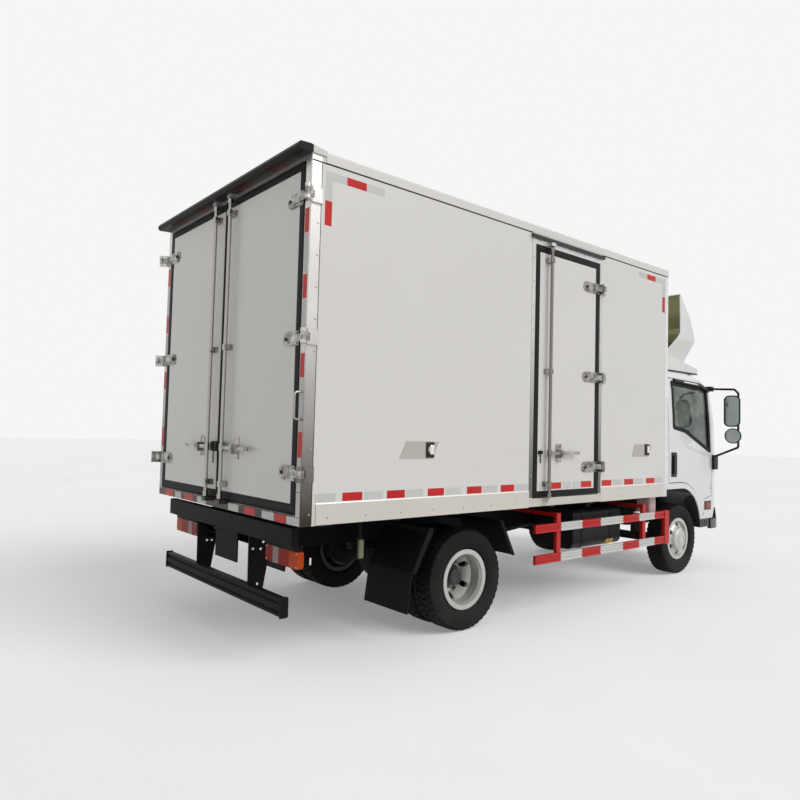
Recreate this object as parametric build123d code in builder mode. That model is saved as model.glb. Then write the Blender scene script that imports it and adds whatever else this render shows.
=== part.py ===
from build123d import *
from math import asin, cos, degrees, radians, sin
import os

os.makedirs("parts", exist_ok=True)

# Driving dimensions of the truck, in millimetres. X runs forward, Y to the left and Z up, the
# ground is z = 0, and the origin lies under the middle of the whole truck.
box_rear_x = -2895
box_length = 4130
box_half_width = 1105
box_bottom_z = 863
box_top_z = 3080
wall_thickness = 80
floor_top_z = 960
wheelbase = 3345
rear_overhang = 1485
tyre_radius = 365
tyre_width = 190
cab_gap = 320
cab_half_width = 905
cab_front_x = 2965
bumper_front_x = 2995

box_front_x = box_rear_x + box_length
rear_axle_x = box_rear_x + rear_overhang
front_axle_x = rear_axle_x + wheelbase
cab_rear_x = box_front_x + cab_gap
axle_z = tyre_radius
roof_bottom_z = box_top_z - 66

# Frame rails
rail_outer_y = 400
rail_flange = 60
rail_web = 7
rail_bottom_z = 600
rail_top_z = 775
rail_rear_x = box_rear_x + 90
rail_front_x = cab_front_x - 200
crossmembers = (-2740, -1960, -860, 240, 2300)

# Springs stand under the rails
spring_y = 370
leaf_width = 60
leaf_thickness = 10

# Wheels: distance of each rim's middle plane from the truck's middle plane
front_wheel_y = 782
twin_outer_y = 903
twin_inner_y = 671
twin_middle_y = (twin_outer_y + twin_inner_y) / 2
kingpin_y = 636
kingpin_r = 16
rim_seat_r = 197
rim_flange_r = 216
rim_half_width = 78
front_disc_offset = 74
twin_disc_offset = (twin_outer_y - twin_inner_y) / 2
hand_holes = 6
hand_hole_r = 23
hand_hole_ring_r = 147
spindle_r = 28
running_gap = 0.05

# Rear doors: two leaves in a stainless portal, on outside hinge pins
portal_depth = 100
portal_opening_half = 1045
portal_opening_bottom = 925
portal_opening_top = 3025
door_thickness = 90
leaf_gap = 9
leaf_centre_gap = 4
leaf_taper = 16
gasket_depth = 5
gasket_width = 52
rear_pin_out = 45
rear_pin_y = box_half_width + 37
hinge_heights = (1165, 1960, 2800)
rear_rod_y = 115
rear_handle_reach = 385

# Side door in the right wall
side_door_rear_x = box_rear_x + 2083
side_door_front_x = box_rear_x + 2950
side_door_bottom_z = 940
side_door_top_z = 2922
side_pin_out = 42
side_pin_x = side_door_front_x + 22
side_hinge_heights = (1168, 1930, 2700)
side_rod_x = box_rear_x + 2240
side_handle_reach = 393
frame_trim = 48

# Door hardware
hinge_height = 88
barrel_r = 16
hinge_pin_r = 7
strap_length = {"rear": 290, "side": 257}
rod_radius = 13
rod_standoff = 36
rod_end_gap = 2
handle_z = 1285

# Cab
cab_bottom_z = 550
cab_belt_z = 1250
cab_roof_z = 2150
cab_skin = 42
shut_gap = 8
cab_door_front_x = cab_rear_x + 1045
cab_door_rear_x = cab_rear_x + 105
arch_centre = (cab_rear_x + 360, 490)
arch_radius = 410
arch_lip = 50
arch_to_door = 66
door_pin = (cab_door_front_x - 15, cab_half_width - 8)
door_pin_r = 4
door_hinge_heights = (880, 1160)
tilt_pin = (bumper_front_x - 150, 450)
tilt_pin_r = 15
tilt_arm_y = 432
tunnel_half = 470
tunnel_z = 850

# Plan sections of the cab: height, front face, half width, radius of the front corners
cab_sections = (
    (cab_bottom_z, cab_front_x, cab_half_width, 360),
    (cab_belt_z, cab_front_x, cab_half_width, 360),
    (1640, cab_front_x - 30, cab_half_width - 11, 330),
    (1940, cab_front_x - 125, cab_half_width - 32, 290),
    (2080, cab_front_x - 300, cab_half_width - 60, 250),
    (cab_roof_z, cab_front_x - 555, cab_half_width - 115, 220),
)
cab_rear_corner = 70

# Roof air deflector: height, rear edge, end of the side face, front face, half width
deflector_sections = (
    (2210, 1683, 2240, 2390, 716),
    (2522, 2008, 2409, 2640, 800),
    (2590, 2080, 2392, 2610, 800),
    (2775, 2082, 2308, 2470, 798),
    (3020, 2083, 2094, 2135, 792),
)
deflector_wall = 8
deflector_base_z = cab_roof_z

SIDES = ((-1, "right"), (1, "left"))


def block(x0, x1, y0, y1, z0, z1, mode=Mode.ADD):
    """A straight-sided bar between two opposite corners."""
    with Locations(((x0 + x1) / 2, (y0 + y1) / 2, (z0 + z1) / 2)):
        Box(abs(x1 - x0), abs(y1 - y0), abs(z1 - z0), mode=mode)


def outline(plane, points, radius=0):
    """A closed straight-sided sketch on a plane, with its corners rounded if a radius is given."""
    with BuildSketch(plane) as face:
        with BuildLine():
            Polyline(*points, close=True)
        make_face()
        if radius:
            fillet(face.vertices(), radius)
    return face.sketch


def crosswise(points, y0, y1, mode=Mode.ADD, radius=0):
    """A side outline (x, z) given its width from y0 to y1."""
    extrude(outline(Plane.XZ.offset(-min(y0, y1)), points, radius), amount=abs(y1 - y0),
            dir=(0, 1, 0), mode=mode)


def lengthwise(points, x0, x1, mode=Mode.ADD, radius=0):
    """A rear outline (y, z) given its length from x0 to x1."""
    extrude(outline(Plane.YZ.offset(x0), points, radius), amount=x1 - x0, mode=mode)


def upright(points, z0, z1, mode=Mode.ADD, radius=0):
    """A plan outline (x, y) given its height from z0 to z1."""
    extrude(outline(Plane.XY.offset(z0), points, radius), amount=z1 - z0, mode=mode)


def crossbar(x, y, z, radius, length, mode=Mode.ADD):
    """A round bar lying across the truck."""
    with Locations(Location((x, y, z), (90, 0, 0))):
        Cylinder(radius, length, mode=mode)


def save(part, name):
    part.label = name
    export_step(part, f"parts/{name}.step")


# Chassis frame: two channel rails, channel crossmembers, silencer and the cab's pivot brackets
with BuildPart() as chassis_frame:
    for side, _ in SIDES:
        outer = side * rail_outer_y
        inner = side * (rail_outer_y - rail_flange)
        web = side * (rail_outer_y - rail_web)
        lengthwise(((outer, rail_bottom_z), (outer, rail_top_z), (inner, rail_top_z),
                    (inner, rail_top_z - rail_web), (web, rail_top_z - rail_web),
                    (web, rail_bottom_z + rail_web), (inner, rail_bottom_z + rail_web),
                    (inner, rail_bottom_z)), rail_rear_x, rail_front_x)
    for x in crossmembers:
        member_bottom = rail_bottom_z + 40
        member_top = rail_bottom_z + 120
        crosswise(((x - 40, member_bottom), (x + 40, member_bottom), (x + 40, member_top),
                   (x - 40, member_top), (x - 40, member_top - rail_web),
                   (x + 40 - rail_web, member_top - rail_web),
                   (x + 40 - rail_web, member_bottom + rail_web), (x - 40, member_bottom + rail_web)),
                  -rail_outer_y + rail_web, rail_outer_y - rail_web)
    for side, _ in SIDES:
        inner = side * (rail_outer_y - 30)
        outer = side * rail_outer_y
        crosswise(((rail_front_x - 220, rail_bottom_z + 10), (rail_front_x - 220, tilt_pin[1] + 40),
                   (rail_front_x - 150, tilt_pin[1] - 28), (tilt_pin[0] + 28, tilt_pin[1] - 28),
                   (tilt_pin[0] + 28, tilt_pin[1] + 28), (rail_front_x - 60, tilt_pin[1] + 50),
                   (rail_front_x - 40, rail_bottom_z + 10)), inner, outer)
        crossbar(tilt_pin[0], side * (rail_outer_y + 20), tilt_pin[1], tilt_pin_r, 80)
    # Silencer under the left rail, on two hangers, with its tail pipe turned down
    silencer_y = 600
    silencer_z = 560
    with Locations(Location((330, silencer_y, silencer_z), (0, 90, 0))):
        Cylinder(105, 620)
    chamfer(chassis_frame.edges().filter_by(GeomType.CIRCLE).filter_by(lambda e: abs(e.radius - 105) < 1), 18)
    for x in (130, 530):
        block(x - 15, x + 15, rail_outer_y - rail_web, silencer_y, 640, 655)
    with Locations(Location((-170, silencer_y, silencer_z), (0, 90, 0))):
        Cylinder(28, 400)
save(chassis_frame.part, "chassis_frame")


# Leaf springs with each axle
def leaf_pack(axle_x, side, z_top, half_length, leaves, rise):
    """Curved leaves, the longest on top, with rolled eyes, hangers up to the rail and clamps."""
    curve_r = (half_length ** 2 + rise ** 2) / (2 * rise)
    y0 = side * (spring_y - leaf_width / 2)
    y1 = side * (spring_y + leaf_width / 2)
    for i in range(leaves):
        length = half_length * (1 - 0.72 * i / leaves)
        swing = degrees(asin(length / curve_r))
        centre = (axle_x, z_top + curve_r)
        with BuildSketch(Plane.XZ.offset(-min(y0, y1))) as leaf:
            with BuildLine():
                upper = CenterArc(centre, curve_r + leaf_thickness * i, 270 - swing, 2 * swing)
                lower = CenterArc(centre, curve_r + leaf_thickness * (i + 1), 270 - swing, 2 * swing)
                Line(upper @ 0, lower @ 0)
                Line(upper @ 1, lower @ 1)
            make_face()
        extrude(leaf.sketch, amount=leaf_width, dir=(0, 1, 0))
    for end in (-1, 1):
        eye_x = axle_x + end * half_length
        eye_z = z_top + rise
        crossbar(eye_x, side * spring_y, eye_z, 17, leaf_width)
        crosswise(((eye_x - 13, eye_z), (eye_x + 13, eye_z), (eye_x + 28, rail_bottom_z),
                   (eye_x - 28, rail_bottom_z)), y0, y1)
    # Clamp plate above the leaves and four bolt legs down past the axle
    block(axle_x - 62, axle_x + 62, y0, y1, z_top, z_top + 12)
    for leg_x in (-50, 50):
        for leg_y in (-22, 22):
            with Locations((axle_x + leg_x, side * (spring_y + leg_y), z_top - 75)):
                Cylinder(7, 190)


front_spring_z = 500
with BuildPart() as front_axle:
    for side, _ in SIDES:
        leaf_pack(front_axle_x, side, front_spring_z, 560, 4, 45)
        block(front_axle_x - 60, front_axle_x + 60, side * (spring_y - 30), side * (spring_y + 30),
              axle_z - 55, front_spring_z - 4 * leaf_thickness + 2)
    # Drop beam, thicker at the kingpin bosses
    lengthwise(((-kingpin_y - 34, axle_z - 42), (-kingpin_y - 34, axle_z + 42),
                (-kingpin_y + 40, axle_z + 42), (-430, axle_z + 5), (430, axle_z + 5),
                (kingpin_y - 40, axle_z + 42), (kingpin_y + 34, axle_z + 42),
                (kingpin_y + 34, axle_z - 42), (kingpin_y - 40, axle_z - 42),
                (430, axle_z - 72), (-430, axle_z - 72), (-kingpin_y + 40, axle_z - 42)),
               front_axle_x - 34, front_axle_x + 34)
    for face in (-1, 1):
        for side, _ in SIDES:
            block(front_axle_x + face * 14, front_axle_x + face * 40, side * 20, side * 315,
                  axle_z - 56, axle_z - 11, mode=Mode.SUBTRACT)
    for side, _ in SIDES:
        with Locations((front_axle_x, side * kingpin_y, axle_z)):
            Cylinder(kingpin_r, 156)
save(front_axle.part, "front_axle")

rear_spring_z = 520
nose_x = rear_axle_x + 330
gearbox_rear_x = cab_rear_x - 950
shaft_start = Vector(nose_x - 10, 0, axle_z + 12)
shaft_end = Vector(gearbox_rear_x - 12, 0, 540)
with BuildPart() as rear_axle:
    for side, _ in SIDES:
        leaf_pack(rear_axle_x, side, rear_spring_z, 590, 6, 45)
        block(rear_axle_x - 55, rear_axle_x + 55, side * (spring_y - 30), side * (spring_y + 30),
              axle_z, rear_spring_z - 6 * leaf_thickness + 2)
    # Banjo housing turned about the axle's line, with its flanges and spindle ends
    with BuildSketch(Plane(origin=(rear_axle_x, 0, axle_z), x_dir=(0, 1, 0), z_dir=(1, 0, 0))) as banjo:
        with BuildLine():
            Polyline((0, 0), (-510, 0), (-510, 130), (-496, 130), (-480, 62), (-250, 58), (-165, 110))
            ThreePointArc((-165, 110), (0, 172), (165, 110))
            Polyline((165, 110), (250, 58), (480, 62), (496, 130), (510, 130), (510, 0), (0, 0))
        make_face()
    revolve(banjo.sketch, axis=Axis((rear_axle_x, 0, axle_z), (0, 1, 0)))
    crossbar(rear_axle_x, 0, axle_z, spindle_r, 2 * twin_outer_y - 60)
    # Differential nose and the propeller shaft up to the gearbox
    with BuildSketch(Plane.YZ.offset(rear_axle_x)) as nose_root:
        with Locations((0, axle_z)):
            Circle(125)
    with BuildSketch(Plane.YZ.offset(nose_x)) as nose_tip:
        with Locations((0, axle_z + 12)):
            Circle(55)
    loft([nose_root.sketch, nose_tip.sketch], ruled=True)
    shaft_plane = Plane(origin=shaft_start, z_dir=shaft_end - shaft_start)
    with BuildSketch(shaft_plane) as shaft:
        Circle(38)
    extrude(shaft.sketch, amount=(shaft_end - shaft_start).length)
save(rear_axle.part, "rear_axle")

with BuildPart() as engine_block:
    block(cab_rear_x - 250, cab_rear_x + 500, -270, 270, 480, 875)
    block(cab_rear_x - 950, cab_rear_x - 250, -180, 180, 440, 700)
save(engine_block.part, "engine_block")

# Fuel tank with two straps and a filler cap, and a fluid bottle ahead of it
tank = {"x0": box_rear_x + 2900, "x1": box_rear_x + 3650, "y0": -900, "y1": -480, "z0": 430, "z1": 780}
with BuildPart() as fuel_tank:
    with BuildSketch(Plane.YZ.offset(tank["x0"])):
        with Locations(((tank["y0"] + tank["y1"]) / 2, (tank["z0"] + tank["z1"]) / 2)):
            RectangleRounded(tank["y1"] - tank["y0"], tank["z1"] - tank["z0"], 60)
    extrude(amount=tank["x1"] - tank["x0"])
    for x in (tank["x0"] + 130, tank["x0"] + 570):
        with BuildSketch(Plane.YZ.offset(x)):
            with Locations(((tank["y0"] + tank["y1"]) / 2, (tank["z0"] + tank["z1"]) / 2)):
                RectangleRounded(tank["y1"] - tank["y0"] + 8, tank["z1"] - tank["z0"] + 8, 64)
        extrude(amount=45)
        block(x, x + 45, tank["y1"], -rail_outer_y, 480, 740)
    with Locations((tank["x0"] + 350, -790, tank["z1"] + 15)):
        Cylinder(42, 40)
    block(box_rear_x + 3990, box_rear_x + 4110, -1010, -860, 700, 850)
    fillet(fuel_tank.edges().filter_by(Axis.Z).filter_by_position(Axis.X, box_rear_x + 3980, box_rear_x + 4120), 22)
    block(box_rear_x + 4020, box_rear_x + 4080, -860, -rail_outer_y, 700, 716)
save(fuel_tank.part, "fuel_tank")


# Front bumper: a bent shell with drawn-back corners, on two arms from the rails
bumper_top_z = 640
bumper_bottom_z = 430
bumper_wall = 38
bumper_rear_x = cab_rear_x + 1020


def bumper_plan(half, front, corner):
    """The bumper's closed plan outline, rounded at its two front corners."""
    with BuildSketch(Plane.XY.offset(bumper_bottom_z)) as plan:
        with BuildLine():
            Polyline((bumper_rear_x, -half), (front, -half), (front, half), (bumper_rear_x, half), close=True)
        make_face()
        fillet(plan.vertices().group_by(Axis.X)[-1], corner)
    return plan.sketch


with BuildPart() as front_bumper:
    extrude(bumper_plan(912, bumper_front_x, 355), amount=bumper_top_z - bumper_bottom_z)
    extrude(bumper_plan(912 - bumper_wall, bumper_front_x - bumper_wall, 355 - bumper_wall),
            amount=bumper_top_z - bumper_bottom_z, mode=Mode.SUBTRACT)
    crosswise(((bumper_front_x - 500, 535), (bumper_front_x - 150, 535),
               (bumper_front_x - 110, bumper_top_z + 10), (bumper_front_x - 500, bumper_top_z + 10)),
              -1000, 1000, mode=Mode.SUBTRACT)
    # Long intake slot low in the bumper's front
    with BuildSketch(Plane.YZ.offset(bumper_front_x - 60)):
        with Locations((0, 485)):
            SlotOverall(900, 46)
    extrude(amount=80, mode=Mode.SUBTRACT)
    for side, _ in SIDES:
        block(rail_front_x, bumper_front_x - 20, side * 300, side * 335, 530, 600)
        block(rail_front_x, rail_front_x + 12, side * 300, side * rail_outer_y, 530, rail_top_z - 20)
save(front_bumper.part, "front_bumper")

# Rear mudguards: a slanted plate ahead of the twin tyres, and one behind them that ends in a flap
guard_inner_y = 560
guard_outer_y = 1030
guard_top_z = 770
flap_low_x = rear_axle_x - 596
flap_bend_x = rear_axle_x - 558
flap_top_x = rear_axle_x - 409
leg_low_x = rear_axle_x + 492
leg_top_x = rear_axle_x + 347
guard_sheet = 8
with BuildPart() as rear_mudguards:
    for side, _ in SIDES:
        y0 = side * guard_inner_y
        y1 = side * guard_outer_y
        crosswise(((flap_low_x, 215), (flap_low_x + guard_sheet, 215), (flap_bend_x + guard_sheet, 476),
                   (flap_top_x + guard_sheet, guard_top_z), (flap_top_x, guard_top_z),
                   (flap_bend_x, 480)), y0, y1)
        crosswise(((leg_low_x - guard_sheet, 500), (leg_low_x, 500), (leg_top_x, guard_top_z),
                   (leg_top_x - guard_sheet, guard_top_z)), y0, y1)
        # Support tubes from the frame, and the folded outer edges of both plates
        block(flap_top_x - 20, flap_top_x + 10, side * rail_outer_y, side * 1000, guard_top_z - 32, guard_top_z)
        block(leg_top_x - 14, leg_top_x + 16, side * rail_outer_y, side * 1000, guard_top_z - 32, guard_top_z)
        crosswise(((flap_bend_x, 480), (flap_bend_x + 36, 470), (flap_top_x + 36, guard_top_z - 34),
                   (flap_top_x + 36, guard_top_z), (flap_top_x, guard_top_z)),
                  side * (guard_outer_y - guard_sheet), y1)
        crosswise(((leg_low_x - 30, 500), (leg_low_x, 500), (leg_top_x, guard_top_z),
                   (leg_top_x - 30, guard_top_z)), side * (guard_outer_y - guard_sheet), y1)
save(rear_mudguards.part, "rear_mudguards")

# Rear underrun bar on two tapered plates, with the cross beam and the plate holder
bar_rear_x = box_rear_x + 10
bar_half = 892
lamp_rear_x = box_rear_x + 95
with BuildPart() as rear_underrun:
    crosswise(((box_rear_x + 40, 715), (box_rear_x + 90, 715), (box_rear_x + 90, 835),
               (box_rear_x + 40, 835)), -950, 950, radius=6)
    for side, _ in SIDES:
        crosswise(((box_rear_x + 45, 760), (box_rear_x + 290, 760), (box_rear_x + 280, 690),
                   (box_rear_x + 190, 560), (box_rear_x + 150, 330), (box_rear_x + 48, 330),
                   (box_rear_x + 45, 600)), side * rail_outer_y, side * (rail_outer_y + 12), radius=8)
        block(box_rear_x + 88, lamp_rear_x + 44, side * 550, side * 920, 684, 720)
        # End caps of the bar
        crosswise(((bar_rear_x - 4, 298), (bar_rear_x + 42, 298), (bar_rear_x + 50, 306),
                   (bar_rear_x + 50, 414), (bar_rear_x + 42, 422), (bar_rear_x - 4, 422)),
                  side * bar_half, side * (bar_half + 14))
    # Grooved bar: lips top and bottom with two long grooves in its rear face
    crosswise(((bar_rear_x, 305), (bar_rear_x + 45, 305), (bar_rear_x + 45, 415), (bar_rear_x, 415),
               (bar_rear_x, 398), (bar_rear_x + 9, 394), (bar_rear_x + 9, 380), (bar_rear_x, 376),
               (bar_rear_x, 344), (bar_rear_x + 9, 340), (bar_rear_x + 9, 326), (bar_rear_x, 322)),
              -bar_half - 1, bar_half + 1)
    # Plate holder with four holes for its screws
    crosswise(((box_rear_x + 80, 500), (box_rear_x + 90, 500), (box_rear_x + 90, 716),
               (box_rear_x + 80, 716)), -170, 170)
    with Locations(Location((box_rear_x + 85, 0, 590), (0, 90, 0))):
        with GridLocations(90, 260, 2, 2):
            Hole(3.5, 40)
save(rear_underrun.part, "rear_underrun")

# Tail lamps: rounded bodies with grooves between their lens segments
lamp_joints = (632, 708, 828)
with BuildPart() as tail_lamps:
    for side, _ in SIDES:
        with BuildSketch(Plane.YZ.offset(lamp_rear_x)) as lens:
            with Locations((side * 738, 632)):
                RectangleRounded(392, 104, 14)
        extrude(lens.sketch, amount=44)
        for y in lamp_joints:
            block(lamp_rear_x - 5, lamp_rear_x + 3, side * (y - 2), side * (y + 2), 570, 700, mode=Mode.SUBTRACT)
save(tail_lamps.part, "tail_lamps")

# Side guards: two grooved rails on each side, posts up to the frame and a closing post in front
guard_y = 1060
guard_half = 12
guard_rails = ((650, 715), (405, 475))
with BuildPart() as side_guards:
    for side, _ in SIDES:
        face = side * (guard_y + guard_half)
        back = side * (guard_y - guard_half)
        groove = side * (guard_y + guard_half - 6)
        for z0, z1 in guard_rails:
            lengthwise(((back, z0), (face, z0), (face, z0 + 16), (groove, z0 + 19), (groove, z0 + 27),
                        (face, z0 + 30), (face, z1 - 30), (groove, z1 - 27), (groove, z1 - 19),
                        (face, z1 - 16), (face, z1), (back, z1)), box_rear_x + 2175, box_rear_x + 4235)
        for x in (2499, 3821):
            centre_x = box_rear_x + x
            upright(((centre_x - 26, back), (centre_x + 26, back), (centre_x + 26, back - side * 28),
                     (centre_x + 20, back - side * 28), (centre_x + 20, back - side * 6),
                     (centre_x - 20, back - side * 6), (centre_x - 20, back - side * 28),
                     (centre_x - 26, back - side * 28)), guard_rails[1][0], 790)
            block(centre_x - 25, centre_x + 25, side * rail_outer_y, back, 762, 790)
        crosswise(((box_rear_x + 4157, 398), (box_rear_x + 4238, 398), (box_rear_x + 4238, 720),
                   (box_rear_x + 4157, 720)), side * (guard_y - 15), side * (guard_y + 15), radius=10)
save(side_guards.part, "side_guards")

# Insulated box. The floor panel lies between the walls, on tapered bearers and two long beams
wall_inner_y = box_half_width - wall_thickness
rail_proud = 5
side_notch_y = box_half_width - 120
with BuildPart() as box_floor:
    block(box_rear_x + portal_depth, box_front_x - wall_thickness, -wall_inner_y, wall_inner_y,
          box_bottom_z, floor_top_z)
    block(side_door_rear_x - 65, side_door_front_x + 60, -wall_inner_y - 5, -side_notch_y,
          side_door_bottom_z - 10, floor_top_z + 5, mode=Mode.SUBTRACT)
    for x in (-2650, -2100, -1550, -1000, -450, 100, 600, 1030):
        lengthwise(((-1020, box_bottom_z), (-1020, box_bottom_z - 20), (-820, rail_top_z + 37),
                    (820, rail_top_z + 37), (1020, box_bottom_z - 20), (1020, box_bottom_z)), x - 30, x + 30)
    for side, _ in SIDES:
        block(box_rear_x + portal_depth, box_front_x - wall_thickness, side * 345, side * 395,
              rail_top_z, rail_top_z + 45)
save(box_floor.part, "box_floor")

# Side walls, each panel with its bottom rail and a bright upper lip on the rail
wall_front_x = box_front_x - wall_thickness
rail_bottom = box_bottom_z + 3
wall_runs = ((1, box_rear_x + portal_depth, wall_front_x),
             (-1, box_rear_x + portal_depth, side_door_rear_x - frame_trim),
             (-1, side_door_front_x + frame_trim, wall_front_x))
with BuildPart() as box_side_walls:
    for side, x0, x1 in wall_runs:
        inner = side * wall_inner_y
        outer = side * box_half_width
        lip = side * (box_half_width + rail_proud)
        lengthwise(((inner, rail_bottom), (lip, rail_bottom), (lip, 988), (outer, 995),
                    (outer, roof_bottom_z), (inner, roof_bottom_z)), x0, x1)
save(box_side_walls.part, "box_side_walls")

with BuildPart() as box_front_wall:
    block(wall_front_x, box_front_x, -box_half_width, box_half_width, box_bottom_z, roof_bottom_z)
save(box_front_wall.part, "box_front_wall")

# Roof panel with rounded side caps that stand a little proud of the walls
with BuildPart() as box_roof:
    cap_y = box_half_width + rail_proud
    with BuildSketch(Plane.YZ.offset(box_rear_x + portal_depth)) as roof_section:
        with BuildLine():
            Polyline((-cap_y, roof_bottom_z), (cap_y, roof_bottom_z), (cap_y, box_top_z),
                     (-cap_y, box_top_z), close=True)
        make_face()
        fillet(roof_section.vertices().group_by(Axis.Y)[-1], 14)
    extrude(amount=box_length - portal_depth)
save(box_roof.part, "box_roof")


# Door hinges. Each half is drawn once about its pin: x away from the pin along the door, y out
# of the door's face and z along the pin.
def hinge_strap(pin_out, pad_start, length):
    """The door's half: barrel, joggled blade, and a ribbed finger plate with a rounded tip."""
    tip_r = hinge_height / 2
    with BuildPart() as strap:
        with BuildSketch(Plane.XY.offset(-hinge_height / 4)):
            with BuildLine():
                Polyline((0, -pin_out + 6), (length - tip_r, -pin_out + 6), (length - tip_r, -pin_out + 12),
                         (60, -pin_out + 18), (barrel_r, -6), (barrel_r, 0), (0, 10), close=True)
            make_face()
            Circle(barrel_r)
            Circle(hinge_pin_r + running_gap, mode=Mode.SUBTRACT)
        extrude(amount=hinge_height / 2)
        with BuildSketch(Plane.XZ.offset(pin_out)):
            with Locations(((pad_start + length - tip_r) / 2, 0)):
                Rectangle(length - tip_r - pad_start, hinge_height)
            with Locations((length - tip_r, 0)):
                Circle(tip_r)
        extrude(amount=-6)
        # Three ribs along the fingers, and the round bush by the tip
        for z in (-32, 0, 32):
            with BuildSketch(Plane.XZ.offset(pin_out - 5)) as rib:
                with Locations(((pad_start + length - 20) / 2, z)):
                    SlotOverall(length - 50 - pad_start, 11)
            extrude(rib.sketch, amount=-6)
        with BuildSketch(Plane.XZ.offset(pin_out - 5)) as bush:
            with Locations((length - tip_r, 0)):
                Circle(13)
        extrude(bush.sketch, amount=-11)
    return strap.part


def hinge_butt(profile):
    """The frame's half: two ears with the pin, from one plan profile, joined by a back plate."""
    ear_height = hinge_height / 4 - 1
    with BuildPart() as butt:
        for z in (-hinge_height / 2, hinge_height / 2 - ear_height):
            with BuildSketch(Plane.XY.offset(z)):
                with BuildLine():
                    Polyline(*profile["ear"], close=True)
                make_face()
                Circle(barrel_r)
            extrude(amount=ear_height)
        with BuildSketch(Plane.XY.offset(-hinge_height / 2)):
            with BuildLine():
                Polyline(*profile["plate"], close=True)
            make_face()
            Circle(hinge_pin_r)
        extrude(amount=hinge_height)
    return butt.part


post_gap = rear_pin_y - box_half_width
rear_butt = hinge_butt({
    "ear": ((-16, 0), (16, 0), (post_gap, -30), (post_gap, -rear_pin_out - 80), (22, -rear_pin_out - 80),
            (22, -50), (-16, -4)),
    "plate": ((22, -rear_pin_out - 80), (post_gap, -rear_pin_out - 80), (post_gap, -rear_pin_out - 15),
              (22, -rear_pin_out - 15)),
})
side_butt = hinge_butt({
    "ear": ((-66, -side_pin_out), (14, -side_pin_out), (16, 0), (-16, 0), (-60, -30)),
    "plate": ((-66, -side_pin_out), (-24, -side_pin_out), (-24, -side_pin_out + 10), (-62, -side_pin_out + 8)),
})
rear_strap = hinge_strap(rear_pin_out, rear_pin_y - portal_opening_half + leaf_gap + 4, strap_length["rear"])
side_strap = hinge_strap(side_pin_out, side_pin_x - side_door_front_x + 6, strap_length["side"])


def rear_pin_plane(side, z):
    """The plane of a rear hinge: its x points from the pin to the middle of the truck."""
    return Plane(origin=(box_rear_x - rear_pin_out, side * rear_pin_y, z),
                 x_dir=(0, -side, 0), z_dir=(0, 0, -side))


def side_pin_plane(z):
    return Plane(origin=(side_pin_x, -box_half_width - side_pin_out, z), x_dir=(-1, 0, 0), z_dir=(0, 0, 1))


def place(form, planes):
    """Copies of one made form, each set on its own plane."""
    for plane in planes:
        add(form.moved(plane.location))


def keeper(plane, z0, z1):
    """A bracket that keeps the end of a lock rod, open towards the rod."""
    with BuildSketch(plane.offset(plane.z_dir.Z * z0)) as keep:
        with BuildLine():
            Polyline((-32, 0), (32, 0), (26, rod_standoff + 16), (-26, rod_standoff + 16), close=True)
        make_face()
    extrude(keep.sketch, amount=z1 - z0, dir=(0, 0, 1))


def rod_plane_rear(side):
    return Plane(origin=(box_rear_x, side * rear_rod_y, 0), x_dir=(0, side, 0), z_dir=(0, 0, side))


side_rod_plane = Plane(origin=(side_rod_x, -box_half_width, 0), x_dir=(1, 0, 0), z_dir=(0, 0, -1))


# Hold-back plates on the box sides, where the opened doors are latched
def hold_back(x, side, lean):
    """A slanted thin plate with a low catch, on a side wall."""
    wall = side * box_half_width
    crosswise(((x, 1250), (x + 290, 1250), (x + 290 + lean, 1363), (x + lean, 1363)), wall, wall + side * 3)
    with Locations(Location((x + 265 if lean > 0 else x + 25, wall + side * 8, 1310), (90, 0, 0))):
        Cylinder(24, 14)


# Rear portal with hinges, rod keepers, the grab handle on the right post and the hold-back plates
with BuildPart() as rear_door_frame:
    block(box_rear_x, box_rear_x + portal_depth, -box_half_width, box_half_width, box_bottom_z, box_top_z - 30)
    block(box_rear_x - 1, box_rear_x + portal_depth + 1, -portal_opening_half, portal_opening_half,
          portal_opening_bottom, portal_opening_top, mode=Mode.SUBTRACT)
    fillet(rear_door_frame.edges().filter_by(Axis.Z).group_by(Axis.X)[0].group_by(Axis.Y)[0], 8)
    fillet(rear_door_frame.edges().filter_by(Axis.Z).group_by(Axis.X)[0].group_by(Axis.Y)[-1], 8)
    for side, _ in SIDES:
        place(rear_butt, [rear_pin_plane(side, z) for z in hinge_heights])
        keeper(rod_plane_rear(side), portal_opening_bottom - 24, portal_opening_bottom + 2)
        keeper(rod_plane_rear(side), portal_opening_top - 2, portal_opening_top + 22)
    with BuildLine() as grab:
        FilletPolyline((box_rear_x + 2, -1075, 1480), (box_rear_x - 48, -1075, 1480),
                       (box_rear_x - 48, -1075, 1640), (box_rear_x + 2, -1075, 1640), radius=22)
    with BuildSketch(Plane(origin=grab.line @ 0, z_dir=grab.line % 0)) as grip:
        Circle(7)
    sweep(grip.sketch, path=grab.line)
    hold_back(box_rear_x + 727, -1, 58)
    hold_back(box_rear_x + 727, 1, 58)
    hold_back(box_rear_x + 3498, -1, 48)
save(rear_door_frame.part, "rear_door_frame")

# Rain hood over the rear doors: a bent cover with a rounded nose
hood_half = box_half_width + 12
with BuildPart() as roof_hood:
    hood_nose = ((box_rear_x + portal_depth, box_top_z), (box_rear_x - 20, box_top_z + 16),
                 (box_rear_x - 88, box_top_z + 12), (box_rear_x - 100, box_top_z - 12),
                 (box_rear_x - 84, box_top_z - 34), (box_rear_x, box_top_z - 30),
                 (box_rear_x + portal_depth, box_top_z - 30))
    with BuildSketch(Plane.XZ.offset(hood_half)) as hood_section:
        with BuildLine():
            Polyline(*hood_nose, close=True)
        make_face()
        fillet(hood_section.vertices().group_by(Axis.X)[0], 9)
    extrude(hood_section.sketch, amount=2 * hood_half, dir=(0, 1, 0))
save(roof_hood.part, "roof_hood")

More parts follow.
